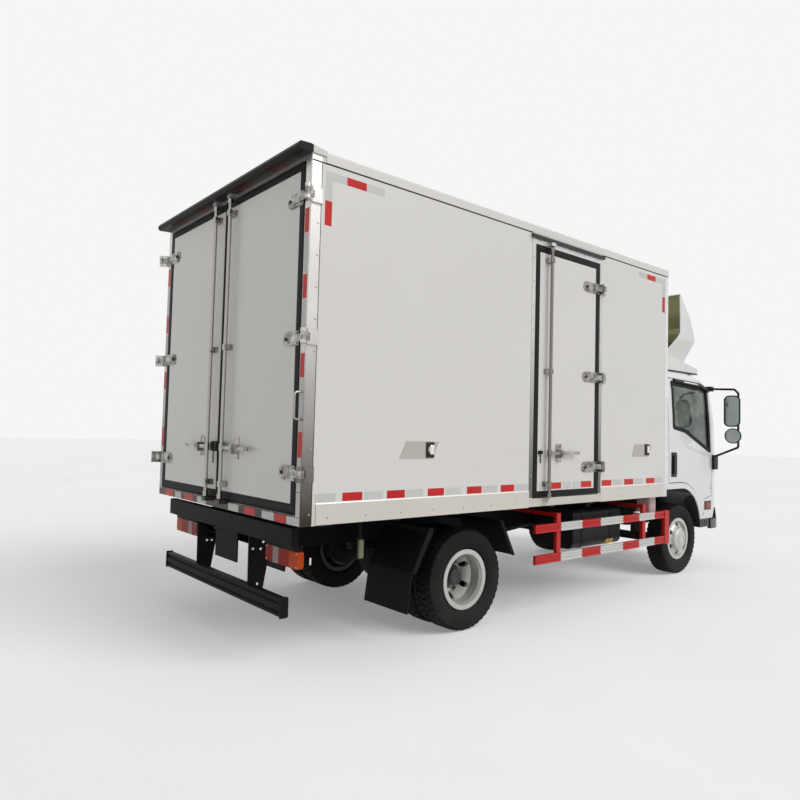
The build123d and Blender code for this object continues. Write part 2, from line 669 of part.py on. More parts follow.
# Side door frame with its hinge butts, keepers, sill and drip rail
with BuildPart() as side_door_frame:
    frame_x0 = side_door_rear_x - frame_trim
    frame_x1 = side_door_front_x + frame_trim
    block(frame_x0, frame_x1, -box_half_width - 3, -wall_inner_y, side_door_bottom_z - 70, roof_bottom_z)
    block(side_door_rear_x - 8, side_door_front_x + 8, -box_half_width - 10, -wall_inner_y + 100,
          side_door_bottom_z - 8, side_door_top_z + 8, mode=Mode.SUBTRACT)
    crosswise(((frame_x0 - 18, 2972), (frame_x1 + 8, 2972), (frame_x1 + 8, 2998), (frame_x0 - 18, 2998)),
              -box_half_width - 22, -box_half_width)
    place(side_butt, [side_pin_plane(z) for z in side_hinge_heights])
    keeper(side_rod_plane, side_door_bottom_z - 38, side_door_bottom_z - 10)
    keeper(side_rod_plane, side_door_top_z + 10, side_door_top_z + 36)
save(side_door_frame.part, "side_door_frame")

# Refrigeration unit on the box front: rounded cover, two fan openings and side louvres
unit = {"depth": 420, "half": 675, "z0": 2480, "z1": 2980}
with BuildPart() as refrigeration_unit:
    block(box_front_x, box_front_x + unit["depth"], -unit["half"], unit["half"], unit["z0"], unit["z1"])
    fillet(refrigeration_unit.faces().sort_by(Axis.X)[-1].edges(), 70)
    with BuildSketch(Plane.YZ.offset(box_front_x + unit["depth"])) as fans:
        with Locations((-320, 2740), (320, 2740)):
            Circle(165)
    extrude(fans.sketch, amount=-45, mode=Mode.SUBTRACT)
    for y in (-320, 320):
        with BuildSketch(Plane.YZ.offset(box_front_x + unit["depth"] - 46)) as hub:
            with Locations((y, 2740)):
                Circle(52)
        extrude(hub.sketch, amount=24)
        block(box_front_x + unit["depth"] - 26, box_front_x + unit["depth"] - 18, y - 160, y + 160, 2732, 2748)
        block(box_front_x + unit["depth"] - 26, box_front_x + unit["depth"] - 18, y - 8, y + 8, 2580, 2900)
    for side, _ in SIDES:
        for z in range(2560, 2900, 45):
            crosswise(((box_front_x + 90, z), (box_front_x + 330, z), (box_front_x + 330, z + 16),
                       (box_front_x + 90, z + 16)), side * (unit["half"] - 12), side * (unit["half"] + 5),
                      mode=Mode.SUBTRACT)
save(refrigeration_unit.part, "refrigeration_unit")


# Lock rods of the box doors
def lock(face_plane, rod_z0, rod_z1, reach):
    """A lock rod with its cams, guides and turned handle. The plane lies on the door's face at
    the rod, its x towards the hinge, its y out of the face and its z up or down."""
    up = face_plane.z_dir.Z
    rise = (0, 0, 1)

    def round_at(z0, z1, radius):
        with BuildSketch(face_plane.offset(up * z0)) as ring:
            with Locations((0, rod_standoff)):
                Circle(radius)
        extrude(ring.sketch, amount=z1 - z0, dir=rise)

    def bracket(z0, z1, points):
        extrude(outline(face_plane.offset(up * z0), points), amount=z1 - z0, dir=rise)

    round_at(rod_z0, rod_z1, rod_radius)
    round_at(rod_z0, rod_z0 + 34, rod_radius + 5)
    round_at(rod_z1 - 34, rod_z1, rod_radius + 5)
    round_at(handle_z - 26, handle_z + 26, rod_radius + 5)
    foot = ((-44, 0), (44, 0), (44, 4), (24, 8), (20, rod_standoff + 12), (10, rod_standoff + 17),
            (-10, rod_standoff + 17), (-20, rod_standoff + 12), (-24, 8), (-44, 4))
    for z in (rod_z0 + 100, (rod_z0 + rod_z1) / 2, rod_z1 - 100):
        bracket(z - 20, z + 20, foot)
    # Handle bar, thinner towards its turned-out end, and the catch that it drops into
    bracket(handle_z - 12, handle_z + 12, ((0, rod_standoff - 12), (120, rod_standoff - 8),
                                           (reach - 30, rod_standoff - 8), (reach, rod_standoff - 2),
                                           (reach, rod_standoff + 8), (reach - 36, rod_standoff + 4),
                                           (120, rod_standoff + 6), (0, rod_standoff + 14)))
    bracket(handle_z - 72, handle_z + 72, ((126, 0), (194, 0), (194, 5), (126, 5)))
    bracket(handle_z - 40, handle_z + 26, ((140, 0), (180, 0), (174, rod_standoff + 12),
                                           (164, rod_standoff + 17), (152, rod_standoff + 17),
                                           (144, rod_standoff + 12)))


rod_bottom = portal_opening_bottom + leaf_gap + rod_end_gap
rod_top = portal_opening_top - leaf_gap - rod_end_gap
for side, name in SIDES:
    with BuildPart() as leaf:
        upright(((box_rear_x, side * leaf_centre_gap), (box_rear_x, side * (portal_opening_half - leaf_gap)),
                 (box_rear_x + door_thickness, side * (portal_opening_half - leaf_gap - 6)),
                 (box_rear_x + door_thickness, side * (leaf_centre_gap + leaf_taper))),
                portal_opening_bottom + leaf_gap, portal_opening_top - leaf_gap)
        # Raised panel on the face: the sunk border around it seats the gasket
        with BuildSketch(Plane.YZ.offset(box_rear_x)) as border:
            with Locations((side * 520, 1975)):
                Rectangle(1060, 2200)
            with Locations((side * (30 + portal_opening_half - leaf_gap - gasket_width) / 2, 1977)):
                Rectangle(portal_opening_half - leaf_gap - gasket_width - 30, 1982, mode=Mode.SUBTRACT)
        extrude(border.sketch, amount=gasket_depth, mode=Mode.SUBTRACT)
    save(leaf.part, f"rear_door_{name}")
    with BuildPart() as hardware:
        place(rear_strap, [rear_pin_plane(side, z) for z in hinge_heights])
        lock(rod_plane_rear(side), rod_bottom, rod_top, rear_handle_reach)
    save(hardware.part, f"rear_door_{name}_hardware")

with BuildPart() as side_door:
    upright(((side_door_rear_x, -box_half_width), (side_door_front_x, -box_half_width),
             (side_door_front_x - 4, -box_half_width + door_thickness),
             (side_door_rear_x + 12, -box_half_width + door_thickness)), side_door_bottom_z, side_door_top_z)
    side_door_middle = ((side_door_rear_x + side_door_front_x) / 2, (side_door_bottom_z + side_door_top_z) / 2)
    with BuildSketch(Plane.XZ.offset(box_half_width)) as border:
        with Locations(side_door_middle):
            Rectangle(1000, 2100)
            Rectangle(side_door_front_x - side_door_rear_x - 2 * gasket_width,
                      side_door_top_z - side_door_bottom_z - 2 * gasket_width + 8, mode=Mode.SUBTRACT)
    extrude(border.sketch, amount=-gasket_depth, mode=Mode.SUBTRACT)
save(side_door.part, "side_door")

with BuildPart() as side_door_hardware:
    place(side_strap, [side_pin_plane(z) for z in side_hinge_heights])
    lock(side_rod_plane, side_door_bottom_z + rod_end_gap, side_door_top_z - rod_end_gap, side_handle_reach)
save(side_door_hardware.part, "side_door_hardware")


# Cab
def cab_section(z, front_x, half_width, corner, inset):
    """A plan section of the cab at one height, drawn in by the inset."""
    with BuildSketch(Plane.XY.offset(z)) as section:
        with BuildLine():
            Polyline((cab_rear_x + inset, -half_width + inset), (front_x - inset, -half_width + inset),
                     (front_x - inset, half_width - inset), (cab_rear_x + inset, half_width - inset), close=True)
        make_face()
        fillet(section.vertices().group_by(Axis.X)[-1], corner - inset / 2)
        fillet(section.vertices().group_by(Axis.X)[0], cab_rear_corner - inset / 2)
    return section.sketch


def arch_outline(grow):
    """Side outline of the space cut under the cab for the wheels and engine, grown by a margin."""
    centre_x, centre_z = arch_centre
    radius = arch_radius + grow
    with BuildSketch(Plane.XZ.offset(1100)) as arch:
        with BuildLine():
            Line((cab_rear_x - 100, 300), (cab_rear_x - 100, centre_z + radius))
            Line((cab_rear_x - 100, centre_z + radius), (centre_x, centre_z + radius))
            CenterArc(arch_centre, radius, 0, 90)
            Line((centre_x + radius, centre_z), (centre_x + radius, 300))
            Line((centre_x + radius, 300), (cab_rear_x - 100, 300))
        make_face()
    return arch.sketch


def cab_form(inset):
    """The cab's closed outer form, drawn in on every side by the inset."""
    heights = [z for z, *_ in cab_sections]
    heights[0] += inset
    heights[-1] -= inset
    rings = [cab_section(z, front, half, corner, inset)
             for z, (_, front, half, corner) in zip(heights, cab_sections)]
    with BuildPart() as form:
        for lower, upper in zip(rings, rings[1:]):
            loft([lower, upper], ruled=True)
        extrude(arch_outline(inset), amount=2200, dir=(0, 1, 0), mode=Mode.SUBTRACT)
        block(cab_rear_x - 100, cab_front_x - 110 + inset, -tunnel_half - inset, tunnel_half + inset, 300,
              tunnel_z + inset, mode=Mode.SUBTRACT)
        crosswise(((cab_rear_x + 1050 + inset, 500), (cab_front_x - 260 + inset, 700 + inset),
                   (cab_front_x + 100, 700 + inset), (cab_front_x + 100, 500)), -1100, 1100, mode=Mode.SUBTRACT)
    return form.part


def skin_piece(side, face, outer, inner):
    """The part of the cab's skin between two forms that lies within a side outline."""
    with BuildPart() as piece:
        extrude(face, amount=300, dir=(0, side, 0))
        add(outer, mode=Mode.INTERSECT)
        add(inner, mode=Mode.SUBTRACT)
    return piece.part


def side_face(points, radius=0):
    return outline(Plane.XZ.offset(0), points, radius)


def door_outline(side, grow):
    """Side outline of a cab door, round the wheel arch, grown by a margin."""
    arch_r = arch_radius + arch_to_door
    foot_z = 600
    arch_start = degrees(asin((foot_z - arch_centre[1]) / arch_r))
    foot_x = arch_centre[0] + arch_r * cos(radians(arch_start))
    sill_z = arch_centre[1] + arch_r
    with BuildSketch(Plane.XZ.offset(-side * 700)) as door:
        with BuildLine():
            Polyline((arch_centre[0], sill_z), (cab_door_rear_x, sill_z), (cab_door_rear_x, 2064),
                     (cab_rear_x + 895, 2044), (cab_door_front_x - 26, 1985), (cab_door_front_x, 1290),
                     (cab_door_front_x, 800), (cab_door_front_x - 160, 770), (foot_x + 36, foot_z), (foot_x, foot_z))
            CenterArc(arch_centre, arch_r, arch_start, 90 - arch_start)
        make_face()
        if grow:
            offset(amount=grow, kind=Kind.INTERSECTION)
    return door.sketch


def door_window(side):
    """Side outline of a door window: low in front, stepped up to the rear."""
    window_points = ((cab_door_rear_x + 115, 2022), (cab_door_rear_x + 105, 1545), (cab_door_rear_x + 345, 1512),
                     (cab_door_front_x - 42, 1296), (cab_door_front_x - 70, 1968), (cab_door_front_x - 150, 1994))
    with BuildSketch(Plane.XZ.offset(-side * 700)) as window:
        with BuildLine():
            Polyline(*window_points, close=True)
        make_face()
        fillet(window.vertices().sort_by(Axis.X)[0:2], 36)
        fillet(window.vertices().sort_by(Axis.Y)[0], 30)
    return window.sketch


outer_form = cab_form(0)
inner_form = cab_form(cab_skin)
glass_outer = cab_form(14)
glass_inner = cab_form(20)
trim_form = cab_form(-10)
visor_form = cab_form(-26)

screen_outline = outline(Plane.YZ.offset(cab_front_x - 500),
                         ((-868, 1335), (868, 1335), (800, 1935), (-800, 1935)), 45)
lamp_corners = ((512, 745), (785, 765), (820, 905), (540, 890))

# Headlamps follow the curve of the front corners
with BuildPart() as headlamps:
    for side, _ in SIDES:
        lamp = outline(Plane.YZ.offset(cab_front_x - 340), [(side * y, z) for y, z in lamp_corners], 22)
        extrude(lamp, amount=400)
    add(outer_form, mode=Mode.INTERSECT)
    add(cab_form(32), mode=Mode.SUBTRACT)
save(headlamps.part, "headlamps")

with BuildPart() as cab_shell:
    add(outer_form)
    add(inner_form, mode=Mode.SUBTRACT)
    for side, _ in SIDES:
        extrude(door_outline(side, shut_gap), amount=300, dir=(0, side, 0), mode=Mode.SUBTRACT)
    # Windscreen and rear window openings
    extrude(screen_outline, amount=700, mode=Mode.SUBTRACT)
    with BuildSketch(Plane.YZ.offset(cab_rear_x - 50)) as rear_window:
        with Locations((0, 1740)):
            RectangleRounded(1100, 360, 60)
    extrude(rear_window.sketch, amount=150, mode=Mode.SUBTRACT)
    add(headlamps.part, mode=Mode.SUBTRACT)
    # Grille: a sunk panel with five bars between the headlamps
    block(cab_front_x - 20, cab_front_x + 10, -430, 430, 770, 950, mode=Mode.SUBTRACT)
    for z in range(785, 940, 35):
        crosswise(((cab_front_x - 22, z), (cab_front_x - 3, z + 3), (cab_front_x - 3, z + 12),
                   (cab_front_x - 22, z + 15)), -430, 430)
    for side, name in SIDES:
        # Raised lip round the wheel arch
        with BuildSketch(Plane.XZ.offset(-side * 700)) as lip:
            with BuildLine():
                low_arc = CenterArc(arch_centre, arch_radius, 8, 82)
                high_arc = CenterArc(arch_centre, arch_radius + arch_lip, 8, 82)
                Line(low_arc @ 0, high_arc @ 0)
                Polyline(low_arc @ 1, (cab_rear_x + 20, arch_centre[1] + arch_radius),
                         (cab_rear_x + 20, arch_centre[1] + arch_radius + arch_lip), high_arc @ 1)
            make_face()
        add(skin_piece(side, lip.sketch, trim_form, inner_form))
        # Step below the door's front, with three treads pressed in
        crosswise(((cab_rear_x + 800, 455), (cab_rear_x + 990, 455), (cab_rear_x + 990, 556),
                   (cab_rear_x + 800, 556)), side * 700, side * 900)
        for x in (cab_rear_x + 830, cab_rear_x + 880, cab_rear_x + 930):
            block(x, x + 24, side * 892, side * 905, 470, 535, mode=Mode.SUBTRACT)
        # Hinge ears and pins of the doors, flush in the skin
        for z in door_hinge_heights:
            for z0, z1 in ((z - 30, z - 14), (z + 14, z + 30)):
                block(door_pin[0], cab_door_front_x + shut_gap + 6, side * (door_pin[1] - 8),
                      side * cab_half_width, z0, z1)
                with Locations((door_pin[0], side * door_pin[1], (z0 + z1) / 2)):
                    Cylinder(8, z1 - z0)
            with Locations((door_pin[0], side * door_pin[1], z)):
                Cylinder(door_pin_r, 60)
        # Goosenecked arm down to the tilt pin
        arm = outline(Plane.XZ.offset(-side * tilt_arm_y + 12),
                      ((tilt_pin[0] - 24, tilt_pin[1] - 24), (tilt_pin[0] + 24, tilt_pin[1] - 24),
                       (tilt_pin[0] + 24, tilt_pin[1] + 24), (tilt_pin[0] - 90, tilt_pin[1] + 120),
                       (tilt_pin[0] - 130, 860), (tilt_pin[0] - 230, 860), (tilt_pin[0] - 170, tilt_pin[1] + 90)))
        extrude(arm, amount=24, dir=(0, 1, 0))
        crossbar(tilt_pin[0], side * tilt_arm_y, tilt_pin[1], tilt_pin_r + running_gap, 30, mode=Mode.SUBTRACT)
save(cab_shell.part, "cab_shell")

# Windscreen, and the small pane in the cab's rear wall
with BuildPart() as windscreen:
    add(glass_outer)
    add(glass_inner, mode=Mode.SUBTRACT)
    extrude(screen_outline, amount=700, mode=Mode.INTERSECT)
    with BuildSketch(Plane.YZ.offset(cab_rear_x + 16)) as pane:
        with Locations((0, 1740)):
            RectangleRounded(1100, 360, 60)
    extrude(pane.sketch, amount=6)
save(windscreen.part, "windscreen")

# Cab doors with hinge barrels, outside handle and rain visor
visor_outline = ((cab_door_rear_x + 160, 2058), (cab_rear_x + 880, 2040), (cab_door_front_x - 34, 1984),
                 (cab_door_front_x - 36, 1958), (cab_rear_x + 860, 2008), (cab_door_rear_x + 170, 2034))
handle_outline = ((cab_door_rear_x + 60, 1046), (cab_door_rear_x + 140, 1046), (cab_door_rear_x + 140, 1260),
                  (cab_door_rear_x + 60, 1260))
for side, name in SIDES:
    window = door_window(side)
    with BuildPart() as door:
        add(skin_piece(side, door_outline(side, 0), outer_form, inner_form))
        extrude(window, amount=300, dir=(0, side, 0), mode=Mode.SUBTRACT)
        for z in door_hinge_heights:
            block(door_pin[0] - 13, cab_door_front_x + 2, side * (door_pin[1] - 17), side * (cab_half_width + 5),
                  z - 36, z + 36, mode=Mode.SUBTRACT)
            with BuildSketch(Plane.XY.offset(z - 12)) as barrel:
                with Locations((door_pin[0], side * door_pin[1])):
                    Circle(8)
                with Locations((door_pin[0] - 10, side * (door_pin[1] - 4))):
                    Rectangle(16, 8)
                with Locations((door_pin[0], side * door_pin[1])):
                    Circle(door_pin_r + running_gap, mode=Mode.SUBTRACT)
            extrude(barrel.sketch, amount=24)
        add(skin_piece(side, side_face(visor_outline), visor_form, outer_form))
        add(skin_piece(side, side_face(handle_outline, 18), trim_form, outer_form))
    save(door.part, f"cab_door_{name}")
    save(skin_piece(side, window, glass_outer, glass_inner), f"cab_door_{name}_glass")


# Roof air deflector: a faceted hollow shell open to the rear, on a stepped base moulding
def deflector_ring(z, rear, side_end, front, half, inset):
    """One plan section of the deflector: straight rear, straight sides, cut corners, flat front."""
    corner = min(200, (front - side_end) * 0.9 + 20)
    back = rear - 60 if inset else rear
    return outline(Plane.XY.offset(z), ((back, -half + inset), (side_end - inset, -half + inset),
                                        (front - inset, -half + corner), (front - inset, half - corner),
                                        (side_end - inset, half - inset), (back, half - inset)))


def deflector_form(inset):
    heights = [z for z, *_ in deflector_sections]
    if inset:
        heights[0] -= 20
        heights[-1] -= inset
    rings = [deflector_ring(z, rear, side_end, front, half, inset)
             for z, (_, rear, side_end, front, half) in zip(heights, deflector_sections)]
    with BuildPart() as form:
        for lower, upper in zip(rings, rings[1:]):
            loft([lower, upper], ruled=True)
    return form.part


with BuildPart() as roof_deflector:
    add(deflector_form(0))
    add(deflector_form(deflector_wall), mode=Mode.SUBTRACT)
    # Cross rib inside the shell
    block(2104, 2116, -793, 793, 2582, 2638)
    base = ((1640, deflector_base_z), (2470, deflector_base_z), (2478, 2204), (2446, 2222), (1640, 2352))
    crosswise(base, -810, 810, mode=Mode.SUBTRACT)
    crosswise(base, -800, 800)
    crosswise(((1600, deflector_base_z - 1), (2460, deflector_base_z - 1), (2440, 2208), (1600, 2343)),
              -792, 792, mode=Mode.SUBTRACT)
save(roof_deflector.part, "roof_deflector")

# Mirrors: a tall and a round one on each side, on a bent tube between two feet on the pillar
mirror_x = cab_rear_x + 1045
tube_x = mirror_x + 14
with BuildPart() as mirrors:
    for side, _ in SIDES:
        with BuildLine() as arm:
            FilletPolyline((tube_x + 20, side * 850, 2000), (tube_x, side * 1150, 1984),
                           (tube_x, side * 1192, 1940), (tube_x, side * 1192, 1345),
                           (tube_x + 20, side * 905, 1225), radius=24)
        with BuildSketch(Plane(origin=arm.line @ 0, z_dir=arm.line % 0)) as tube:
            Circle(12)
        sweep(tube.sketch, path=arm.line)
        tall_plane = Plane(origin=(mirror_x + 6, side * 1138, 1742), x_dir=(0.22, side, 0), z_dir=(-1, 0.22 * side, 0))
        with BuildSketch(tall_plane) as back_shape:
            RectangleRounded(130, 300, 50)
        with BuildSketch(tall_plane.offset(34)) as rim_shape:
            RectangleRounded(165, 345, 56)
        with BuildSketch(tall_plane.offset(56)) as face_shape:
            RectangleRounded(165, 345, 56)
        loft([back_shape.sketch, rim_shape.sketch], ruled=True)
        loft([rim_shape.sketch, face_shape.sketch], ruled=True)
        round_plane = Plane(origin=(mirror_x + 6, side * 1148, 1470), x_dir=(0.22, side, 0), z_dir=(-1, 0.22 * side, 0))
        with BuildSketch(round_plane) as bowl_back:
            Circle(48)
        with BuildSketch(round_plane.offset(36)) as bowl_rim:
            Circle(84)
        with BuildSketch(round_plane.offset(56)) as bowl_face:
            Circle(84)
        loft([bowl_back.sketch, bowl_rim.sketch], ruled=True)
        loft([bowl_rim.sketch, bowl_face.sketch], ruled=True)
        # Feet on the front pillar, above and below
        block(cab_door_front_x + 14, cab_door_front_x + 96, side * 850, side * 936, 1088, 1250)
        block(cab_door_front_x + 2, cab_door_front_x + 78, side * 830, side * 892, 1972, 2026)
    add(outer_form, mode=Mode.SUBTRACT)
save(mirrors.part, "mirrors")

# Seats: driver's seat on the left and a bench for two, each a cushion, a back and headrests
with BuildPart() as cab_seats:
    for y0, y1, rests in ((-815, -80, (-640, -260)), (180, 780, (480,))):
        crosswise(((cab_rear_x + 150, 960), (cab_rear_x + 630, 960), (cab_rear_x + 660, 1100),
                   (cab_rear_x + 630, 1150), (cab_rear_x + 150, 1120)), y0, y1)
        crosswise(((cab_rear_x + 70, 960), (cab_rear_x + 190, 960), (cab_rear_x + 190, 1150),
                   (cab_rear_x + 150, 1640), (cab_rear_x + 60, 1640), (cab_rear_x + 55, 1100)), y0, y1)
        for y in rests:
            crosswise(((cab_rear_x + 65, 1640), (cab_rear_x + 140, 1640), (cab_rear_x + 138, 1800),
                       (cab_rear_x + 75, 1800)), y - 120, y + 120)
save(cab_seats.part, "cab_seats")

# Dashboard shaped to the cab's front, with an instrument cowl, column and steering wheel
wheel_centre = (cab_front_x - 400, 440, 1195)
with BuildPart() as dashboard:
    crosswise(((cab_front_x - 330, 985), (cab_front_x - 60, 985), (cab_front_x - 60, 1250),
               (cab_front_x - 250, 1262), (cab_front_x - 320, 1225), (cab_front_x - 350, 1120)), -850, 850)
    crosswise(((cab_front_x - 330, 1150), (cab_front_x - 120, 1150), (cab_front_x - 160, 1300),
               (cab_front_x - 300, 1315), (cab_front_x - 345, 1280)), 270, 610)
    add(cab_form(cab_skin + 4), mode=Mode.INTERSECT)
    with BuildSketch(Plane(origin=wheel_centre, z_dir=(cos(radians(40)), 0, -sin(radians(40))))) as column:
        Circle(30)
    extrude(column.sketch, amount=150)
    with Locations(Location(wheel_centre, (0, -50, 0))):
        Torus(185, 13)
        Cylinder(62, 34)
        with PolarLocations(90, 3, start_angle=90):
            Box(190, 34, 12)
save(dashboard.part, "dashboard")


# Wheels
def turned(x, side, *profiles):
    """A wheel part turned about the axle's line from closed half sections: outward, radius."""
    with BuildSketch(Plane(origin=(x, 0, axle_z), x_dir=(0, side, 0), z_dir=(side, 0, 0))) as section:
        for points in profiles:
            with BuildLine():
                Polyline(*points, close=True)
            make_face()
    revolve(section.sketch, axis=Axis((x, 0, axle_z), (0, 1, 0)))


def tyre(x, side, middle):
    """A tyre body: bead, sidewalls, shoulders and a nearly flat tread band."""
    half = tyre_width / 2
    crown = tyre_radius
    right = ((rim_half_width - 10, rim_seat_r), (rim_half_width - 10, rim_flange_r + 3), (half - 6, 246),
             (half, 284), (half - 3, 318), (half - 13, crown - 15), (half - 34, crown - 1), (20, crown))
    left = tuple((-distance, radius) for distance, radius in right)
    turned(x, side, [(middle + distance, radius) for distance, radius in left + right[::-1]])


def rim_profile(middle, out, disc):
    """Half section of a pressed rim and its dished disc: out is the way the disc's face looks."""
    w = rim_half_width
    half_section = ((-w, rim_flange_r), (-w, rim_seat_r - 14), (-50, 172), (min(30, disc - 50), 172),
                    (disc - 12, 122), (disc - 12, 50), (disc + 1, 50), (disc + 1, 130),
                    (min(48, disc - 22), 180), (w, rim_seat_r - 12), (w, rim_flange_r),
                    (w - 9, rim_flange_r), (w - 9, rim_seat_r), (-w + 9, rim_seat_r), (-w + 9, rim_flange_r))
    return [(middle + out * distance, radius) for distance, radius in half_section]


def hand_hole_ring(x, y, depth):
    """The round holes through a disc that lies near y."""
    with Locations(Location((x, y, axle_z), (90, 0, 0))):
        with PolarLocations(hand_hole_ring_r, hand_holes, start_angle=30):
            Cylinder(hand_hole_r, depth, mode=Mode.SUBTRACT)


front_face = front_wheel_y + front_disc_offset
for side, name in SIDES:
    with BuildPart() as front_tyre:
        tyre(front_axle_x, side, front_wheel_y)
    save(front_tyre.part, f"front_tyre_{name}")
    with BuildPart() as front_rim:
        # Rim with brake drum, hub and the domed cap over it
        turned(front_axle_x, side, rim_profile(front_wheel_y, 1, front_disc_offset),
               ((front_wheel_y - 55, 120), (front_wheel_y - 55, 150), (front_wheel_y + 20, 150),
                (front_wheel_y + 20, 90), (front_face - 10, 90), (front_face - 10, 122),
                (front_face + 6, 122), (front_face + 22, 112), (front_face + 34, 88), (front_face + 41, 45),
                (front_face + 43, 0), (front_face - 14, 0), (front_face - 14, spindle_r + running_gap),
                (front_wheel_y + 10, spindle_r + running_gap), (front_wheel_y + 10, 120)))
        hand_hole_ring(front_axle_x, side * (front_face - 23), 58)
    save(front_rim.part, f"front_rim_{name}")
    with BuildPart() as rear_tyres:
        tyre(rear_axle_x, side, twin_outer_y)
        tyre(rear_axle_x, side, twin_inner_y)
    save(rear_tyres.part, f"rear_tyres_{name}")
    with BuildPart() as rear_rims:
        # Two rims back to back with brake drum, hub and axle shaft flange
        turned(rear_axle_x, side, rim_profile(twin_outer_y, -1, twin_disc_offset),
               rim_profile(twin_inner_y, 1, twin_disc_offset),
               ((twin_middle_y - 250, 110), (twin_middle_y - 250, 150), (twin_middle_y - 100, 150),
                (twin_middle_y - 100, 90), (twin_middle_y + 40, 90), (twin_middle_y + 52, 78),
                (twin_middle_y + 70, 62), (twin_middle_y + 100, 58), (twin_middle_y + 104, 46),
                (twin_middle_y + 104, 0), (twin_middle_y + 90, 0),
                (twin_middle_y + 90, spindle_r + running_gap),
                (twin_middle_y - 170, spindle_r + running_gap), (twin_middle_y - 170, 110)))
        hand_hole_ring(rear_axle_x, side * twin_middle_y, 184)
    save(rear_rims.part, f"rear_rims_{name}")
    with BuildPart() as knuckle:
        plate_in = side * (kingpin_y + 58)
        plate_out = side * (kingpin_y + 76)
        for z0, z1 in ((axle_z - 78, axle_z - 44), (axle_z + 44, axle_z + 78)):
            block(front_axle_x - 34, front_axle_x + 34, side * (kingpin_y - 36), plate_out, z0, z1)
        block(front_axle_x - 50, front_axle_x + 50, plate_in, plate_out, axle_z - 85, axle_z + 85)
        with Locations((front_axle_x, side * kingpin_y, axle_z)):
            Cylinder(kingpin_r + running_gap, 200, mode=Mode.SUBTRACT)
        spindle_end = front_wheel_y + front_disc_offset - 20
        crossbar(front_axle_x, side * (kingpin_y + 66 + spindle_end) / 2, axle_z, spindle_r,
                 spindle_end - kingpin_y - 66)
        # Steering arm to the rear
        upright(((front_axle_x - 30, side * (kingpin_y - 30)), (front_axle_x + 30, side * (kingpin_y - 30)),
                 (front_axle_x - 20, side * (kingpin_y - 52)), (front_axle_x - 190, side * (kingpin_y - 58)),
                 (front_axle_x - 190, side * (kingpin_y - 28))), axle_z - 85, axle_z - 60)
    save(knuckle.part, f"knuckle_{name}")
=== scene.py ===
import bpy
import bmesh
import math
from mathutils import Matrix, Vector


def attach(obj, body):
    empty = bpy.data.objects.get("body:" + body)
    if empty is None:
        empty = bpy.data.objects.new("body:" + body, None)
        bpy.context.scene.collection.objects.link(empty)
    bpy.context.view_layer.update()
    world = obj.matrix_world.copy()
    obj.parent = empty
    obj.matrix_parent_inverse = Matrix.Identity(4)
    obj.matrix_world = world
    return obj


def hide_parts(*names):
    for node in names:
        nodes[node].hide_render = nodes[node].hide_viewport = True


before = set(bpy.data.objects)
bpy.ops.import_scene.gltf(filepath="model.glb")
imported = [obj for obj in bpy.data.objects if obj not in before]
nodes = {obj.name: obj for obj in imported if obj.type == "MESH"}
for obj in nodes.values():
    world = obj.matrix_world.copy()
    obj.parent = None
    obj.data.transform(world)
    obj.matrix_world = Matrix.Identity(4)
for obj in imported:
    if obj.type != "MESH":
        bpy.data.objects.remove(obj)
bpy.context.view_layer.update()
print("frame loaded", len(nodes), "nodes")

# Places on the truck that several pieces share, in metres
truck = {
    "boxRear": -2.895, "boxFront": 1.235, "boxHalf": 1.105,
    "rearAxle": -1.410, "frontAxle": 1.935, "axleHeight": 0.365,
    "twinOuter": 0.903, "twinInner": 0.671, "frontWheel": 0.782,
}
sides = ((-1, "right"), (1, "left"))


def alongBox(distance):
    return truck["boxRear"] + distance


def spread(start, stop, pitch):
    while start < stop:
        yield start
        start += pitch


def between(table, height):
    # The other columns of a table of sections, at a height in its first column
    for first, second in zip(table, table[1:]):
        if height <= second[0]:
            share = (height - first[0]) / (second[0] - first[0])
            return [a + (b - a) * share for a, b in zip(first[1:], second[1:])]


# Node helpers


def link(tree, source, target):
    tree.links.new(source, target)


def feed(tree, slot, value):
    if isinstance(value, (int, float)):
        slot.default_value = value
    elif isinstance(value, (tuple, list)):
        slot.default_value = (*value[:3], 1.0)
    else:
        link(tree, value, slot)


def mathNode(tree, operation, first, second):
    node = tree.nodes.new("ShaderNodeMath")
    node.operation = operation
    for slot, value in zip(node.inputs, (first, second)):
        feed(tree, slot, value)
    return node.outputs[0]


def product(tree, factor, value):
    return value if factor is None else mathNode(tree, "MULTIPLY", factor, value)


def rangeNode(tree, value, fromLow, fromHigh, toLow=0.0, toHigh=1.0):
    node = tree.nodes.new("ShaderNodeMapRange")
    keys = ("Value", "From Min", "From Max", "To Min", "To Max")
    for key, number in zip(keys, (value, fromLow, fromHigh, toLow, toHigh)):
        feed(tree, node.inputs[key], number)
    return node.outputs[0]


def mixColour(tree, factor, first, second):
    node = tree.nodes.new("ShaderNodeMix")
    node.data_type = "RGBA"
    for slot, value in zip((node.inputs[0], node.inputs[6], node.inputs[7]), (factor, first, second)):
        feed(tree, slot, value)
    return node.outputs[2]


def mixNumber(tree, factor, first, second):
    if first == second:  # the same all over
        return first
    node = tree.nodes.new("ShaderNodeMix")
    for slot, value in zip((node.inputs[0], node.inputs[2], node.inputs[3]), (factor, first, second)):
        feed(tree, slot, value)
    return node.outputs[0]


def noiseNode(tree, vector, scale, detail=3.0, rough=0.5):
    node = tree.nodes.new("ShaderNodeTexNoise")
    for key, number in (("Scale", scale), ("Detail", detail), ("Roughness", rough)):
        node.inputs[key].default_value = number
    link(tree, vector, node.inputs["Vector"])
    return node.outputs["Fac"]


def bumpNode(tree, height, strength, depth, under=None):
    node = tree.nodes.new("ShaderNodeBump")
    node.inputs["Strength"].default_value = strength
    node.inputs["Distance"].default_value = depth
    link(tree, height, node.inputs["Height"])
    if under:
        link(tree, under, node.inputs["Normal"])
    return node.outputs[0]


